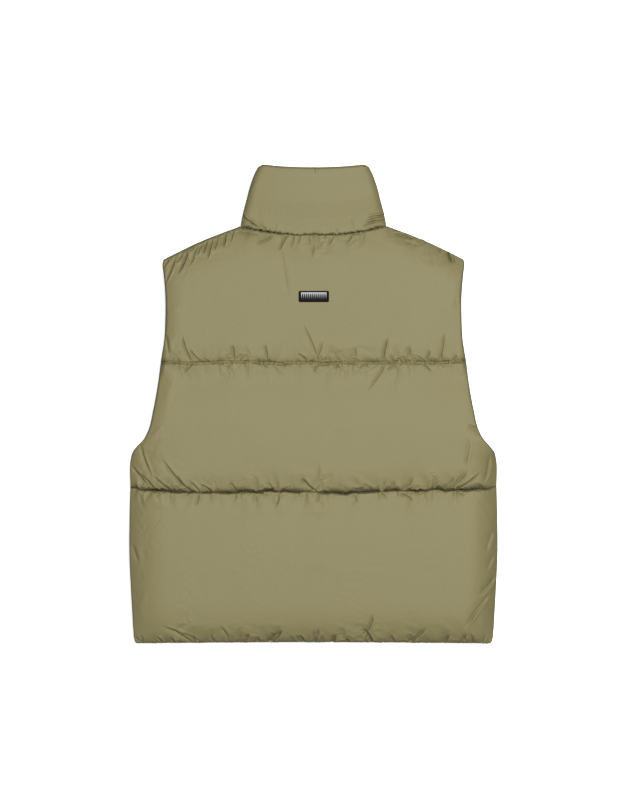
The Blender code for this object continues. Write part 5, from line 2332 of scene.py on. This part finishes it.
@dataclass
class Badge:
    """A black rubber badge with a raised rim, round a bright inset of plain upright ribs."""

    centre: tuple[float, float] = (0.0005, 0.1625)
    bottom: float = 0.0617
    size: tuple[float, float, float] = (0.0460, 0.0170, 0.0016)
    corner: float = 0.0022
    recess: float = 0.80
    inset: tuple[float, float, float] = (0.0400, 0.0102, 0.0008)
    inset_raise: float = 0.0008
    bars: int = 13
    bar_height: float = 0.70
    bar_share: float = 0.44
    bar_fall: float = 0.92
    bar_crest: float = 0.22
    crest_wider: float = 0.12
    bar_slope: float = 0.0003
    bar_levels: Table = ((0.0, 0.0), (0.7, 0.0), (1.0, 1.0))
    long_bars: Table = ((0.44, 0.11), (-0.47, 0.05))
    long_share: float = 0.97
    least_corner: float = 0.0004
    rim: Table = (
        (0.0010, 0.0), (0.0, 0.0), (0.0, 0.55), (0.0002, 0.85), (0.0006, 1.0), (0.0013, 1.0),
        (0.0017, 0.95),
    )
    recess_insets: tuple[float, float] = (0.0020, 0.0040)
    sharp_angle: float = 40.0

    def build(self, finishes: Finishes) -> None:
        """Makes the plate and the inset.

        Args:
            finishes: The materials.
        """
        self.plate(finishes.rubber)
        self.ribbed(finishes.silver)

    def plate(self, finish: bpy.types.Material) -> None:
        """The plate: rows of (inset, share of the height) carried round a rounded rectangle.

        Args:
            finish: The rubber.
        """
        wide, high, tall = self.size
        rings = []
        for inset, share in (*self.rim, *((inset, self.recess) for inset in self.recess_insets)):
            corner = max(self.corner - inset, self.least_corner)
            outline = rounded_outline(wide - 2 * inset, high - 2 * inset, corner)
            level = np.full(len(outline), self.bottom + tall * share)
            rings.append(np.column_stack([outline + self.centre, level]))
        points = np.array(rings)
        faces = grid_faces(*points.shape[:2], around=True)
        mesh = mesh_of("badge_plate_rimmed", points.reshape(-1, 3), faces)
        made = shown(capped(mesh), finish)
        mesh.set_sharp_from_angle(angle=math.radians(self.sharp_angle))
        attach(made, VEST)
        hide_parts("badge_plate")
        LOG.info("%s: rimmed", made.name)

    def ribbed(self, finish: bpy.types.Material) -> None:
        """The inset: a row of plain upright bars between a bar above and a thin one below.

        Each bar is a low block whose top is smaller than its foot. The top is level at its upper
        end, which catches the light, and falls from there towards the hem.

        Args:
            finish: The bright metal.
        """
        width, height, above = self.inset
        thick = self.size[2] * (1 - self.recess) + PADDING.seam_gap + above
        pitch = width / self.bars
        along = (np.arange(self.bars) + 0.5) * pitch - width / 2
        tall = height * self.bar_height
        crest = tall * self.bar_crest
        wider = pitch * (self.bar_share + self.crest_wider)
        rows = [(x, -crest / 2, pitch * self.bar_share, tall - crest) for x in along]
        rows += [(x, (tall - crest) / 2, wider, crest) for x in along]
        for up, thin in self.long_bars:
            rows.append((0.0, height * up, width * self.long_share, height * thin))
        place, levels = np.array(rows), np.array(self.bar_levels)
        corner = np.array(SQUARE) / 2
        ring = np.empty((len(place), len(levels), 4, 3))
        size = place[:, None, None, 2:] - 2 * self.bar_slope * levels[None, :, None, 1:]
        ring[..., :2] = place[:, None, None, :2] + size * corner
        ring[..., :2] += (self.centre[0], self.centre[1] + self.inset_raise)
        base = self.bottom + self.size[2] * self.recess
        ring[..., 2] = base + thick * levels[None, :, :1]
        ring[: self.bars, 1:, :2, 2] -= thick * self.bar_fall * levels[None, 1:, :1]
        faces = copied(block_faces(len(levels)), len(levels) * 4, len(place))
        mesh = mesh_of("badge_inset_bars", ring.reshape(-1, 3), faces)
        mesh.shade_flat()
        # The finish paints the bars darker towards the hem, as painted shade.
        made = shown(mesh, finish)
        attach(made, VEST)
        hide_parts("badge_inset")
        LOG.info("%s: %d bars", made.name, self.bars)


# --- Studio ---


class Lamp(NamedTuple):
    """A square soft light: where it stands, where it points, its width and its strength."""

    name: str
    place: tuple[float, float, float]
    aim: tuple[float, float, float]
    width: float
    watts: float


@dataclass(frozen=True)
class Studio:
    """A pale floor, soft lights and a camera straight above."""

    metres_per_pixel: float = 0.001526
    image_height: int = 801
    lens: float = 100.0
    sensor: float = 36.0
    centre: tuple[float, float] = (0.0008, 0.0053)
    aim_z: float = 0.030
    floor_size: float = 9.0
    floor_z: float = -0.0006
    card: float = 0.95
    bounce: float = 0.22
    glow: float = 0.50
    world: float = 0.15
    backdrop: float = 0.85
    lamps: tuple[Lamp, ...] = (
        Lamp("key_light", (0.62, 0.55, 3.9), (0.0, 0.0, 0.0), 1.0, 190.0),
        Lamp("top_light", (-0.2, -0.2, 3.6), (0.0, 0.0, 0.0), 1.8, 54.0),
    )

    def build(self) -> None:
        """Makes the floor, the world, the lights and the camera."""
        self.floor()
        self.sky()
        for lamp in self.lamps:
            self.light(lamp)
        self.camera()
        bpy.context.scene.view_settings.view_transform = "Standard"

    def floor(self) -> None:
        """A large square of pale card.

        What the camera sees of it is paler than what lights the vest, and glows a little, so
        that the ground is near white while the card's light stays off the vest's edges.
        """
        flat = np.array(SQUARE) * self.floor_size / 2
        square = np.column_stack([flat, np.full(len(flat), self.floor_z)])
        card, wire, shader = new_material("pale_card")
        direct = wire.add("LightPath").outputs["Is Camera Ray"]
        tones = wire.two_tones(direct, (self.bounce,) * 3, (self.card,) * 3)
        wire.join(tones, shader.inputs["Base Color"])
        glow = wire.two_tones(direct, (0.0,) * 3, (self.glow,) * 3)
        wire.join(glow, shader.inputs["Emission Color"])
        values = {"Emission Strength": 1.0, "Roughness": 0.9, "Specular IOR Level": 0.1}
        set_inputs(shader, values)
        floor = shown(mesh_of("floor", square, np.arange(4)[None]), card, outward=False)

    def sky(self) -> None:
        """An even world: a pale backdrop that lights the set less than it shows."""
        world = bpy.data.worlds.new("pale_room")
        world.use_nodes = True
        background = world.node_tree.nodes["Background"]
        set_inputs(background, {"Color": (1.0, 1.0, 1.0, 1.0)})
        wire = Wiring(world.node_tree)
        direct = wire.add("LightPath").outputs["Is Camera Ray"]
        extra = wire.math("MULTIPLY", direct, self.backdrop - self.world)
        wire.join(wire.math("ADD", extra, self.world), background.inputs["Strength"])
        bpy.context.scene.world = world

    def light(self, lamp: Lamp) -> None:
        """One area light, turned towards its aim.

        Args:
            lamp: The light's row.
        """
        data = bpy.data.lights.new(lamp.name, "AREA")
        data.size = lamp.width
        data.energy = lamp.watts
        made = bpy.data.objects.new(lamp.name, data)
        bpy.context.scene.collection.objects.link(made)
        place = np.array(lamp.place)
        made.location = place
        way = Vector(np.array(lamp.aim) - place)
        made.rotation_euler = way.to_track_quat("-Z", "Y").to_euler()

    def camera(self) -> None:
        """A long lens straight above, whose frame is the image's height in metres."""
        data = bpy.data.cameras.new("camera")
        data.lens = self.lens
        data.sensor_width = self.sensor
        data.clip_end = 50.0
        view = self.metres_per_pixel * self.image_height
        made = bpy.data.objects.new("camera", data)
        bpy.context.scene.collection.objects.link(made)
        made.location = (*self.centre, self.aim_z + view * self.lens / self.sensor)
        bpy.context.scene.camera = made


# --- The whole ---


def main() -> None:
    """Builds the vest from the hem up, then its zip, its badge and the studio."""
    logging.basicConfig(level=logging.INFO, format="%(name)s: %(message)s")
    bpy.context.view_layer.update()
    finishes = Finishes.build()
    padded = channels()
    collar = Collar()
    pieces = [*padded, collar]
    moved = gathered([piece.sheet() for piece in pieces], ClothTest())
    for piece, moves in zip(pieces, moved):
        piece.moves = moves
    for channel in padded:
        channel.build(finishes.shell)
    collar.build(finishes.shell)
    Stitching().build(padded, finishes.thread)
    Zip(collar).build(finishes)
    Badge().build(finishes)
    Studio().build()


if __name__ == "__main__":
    main()
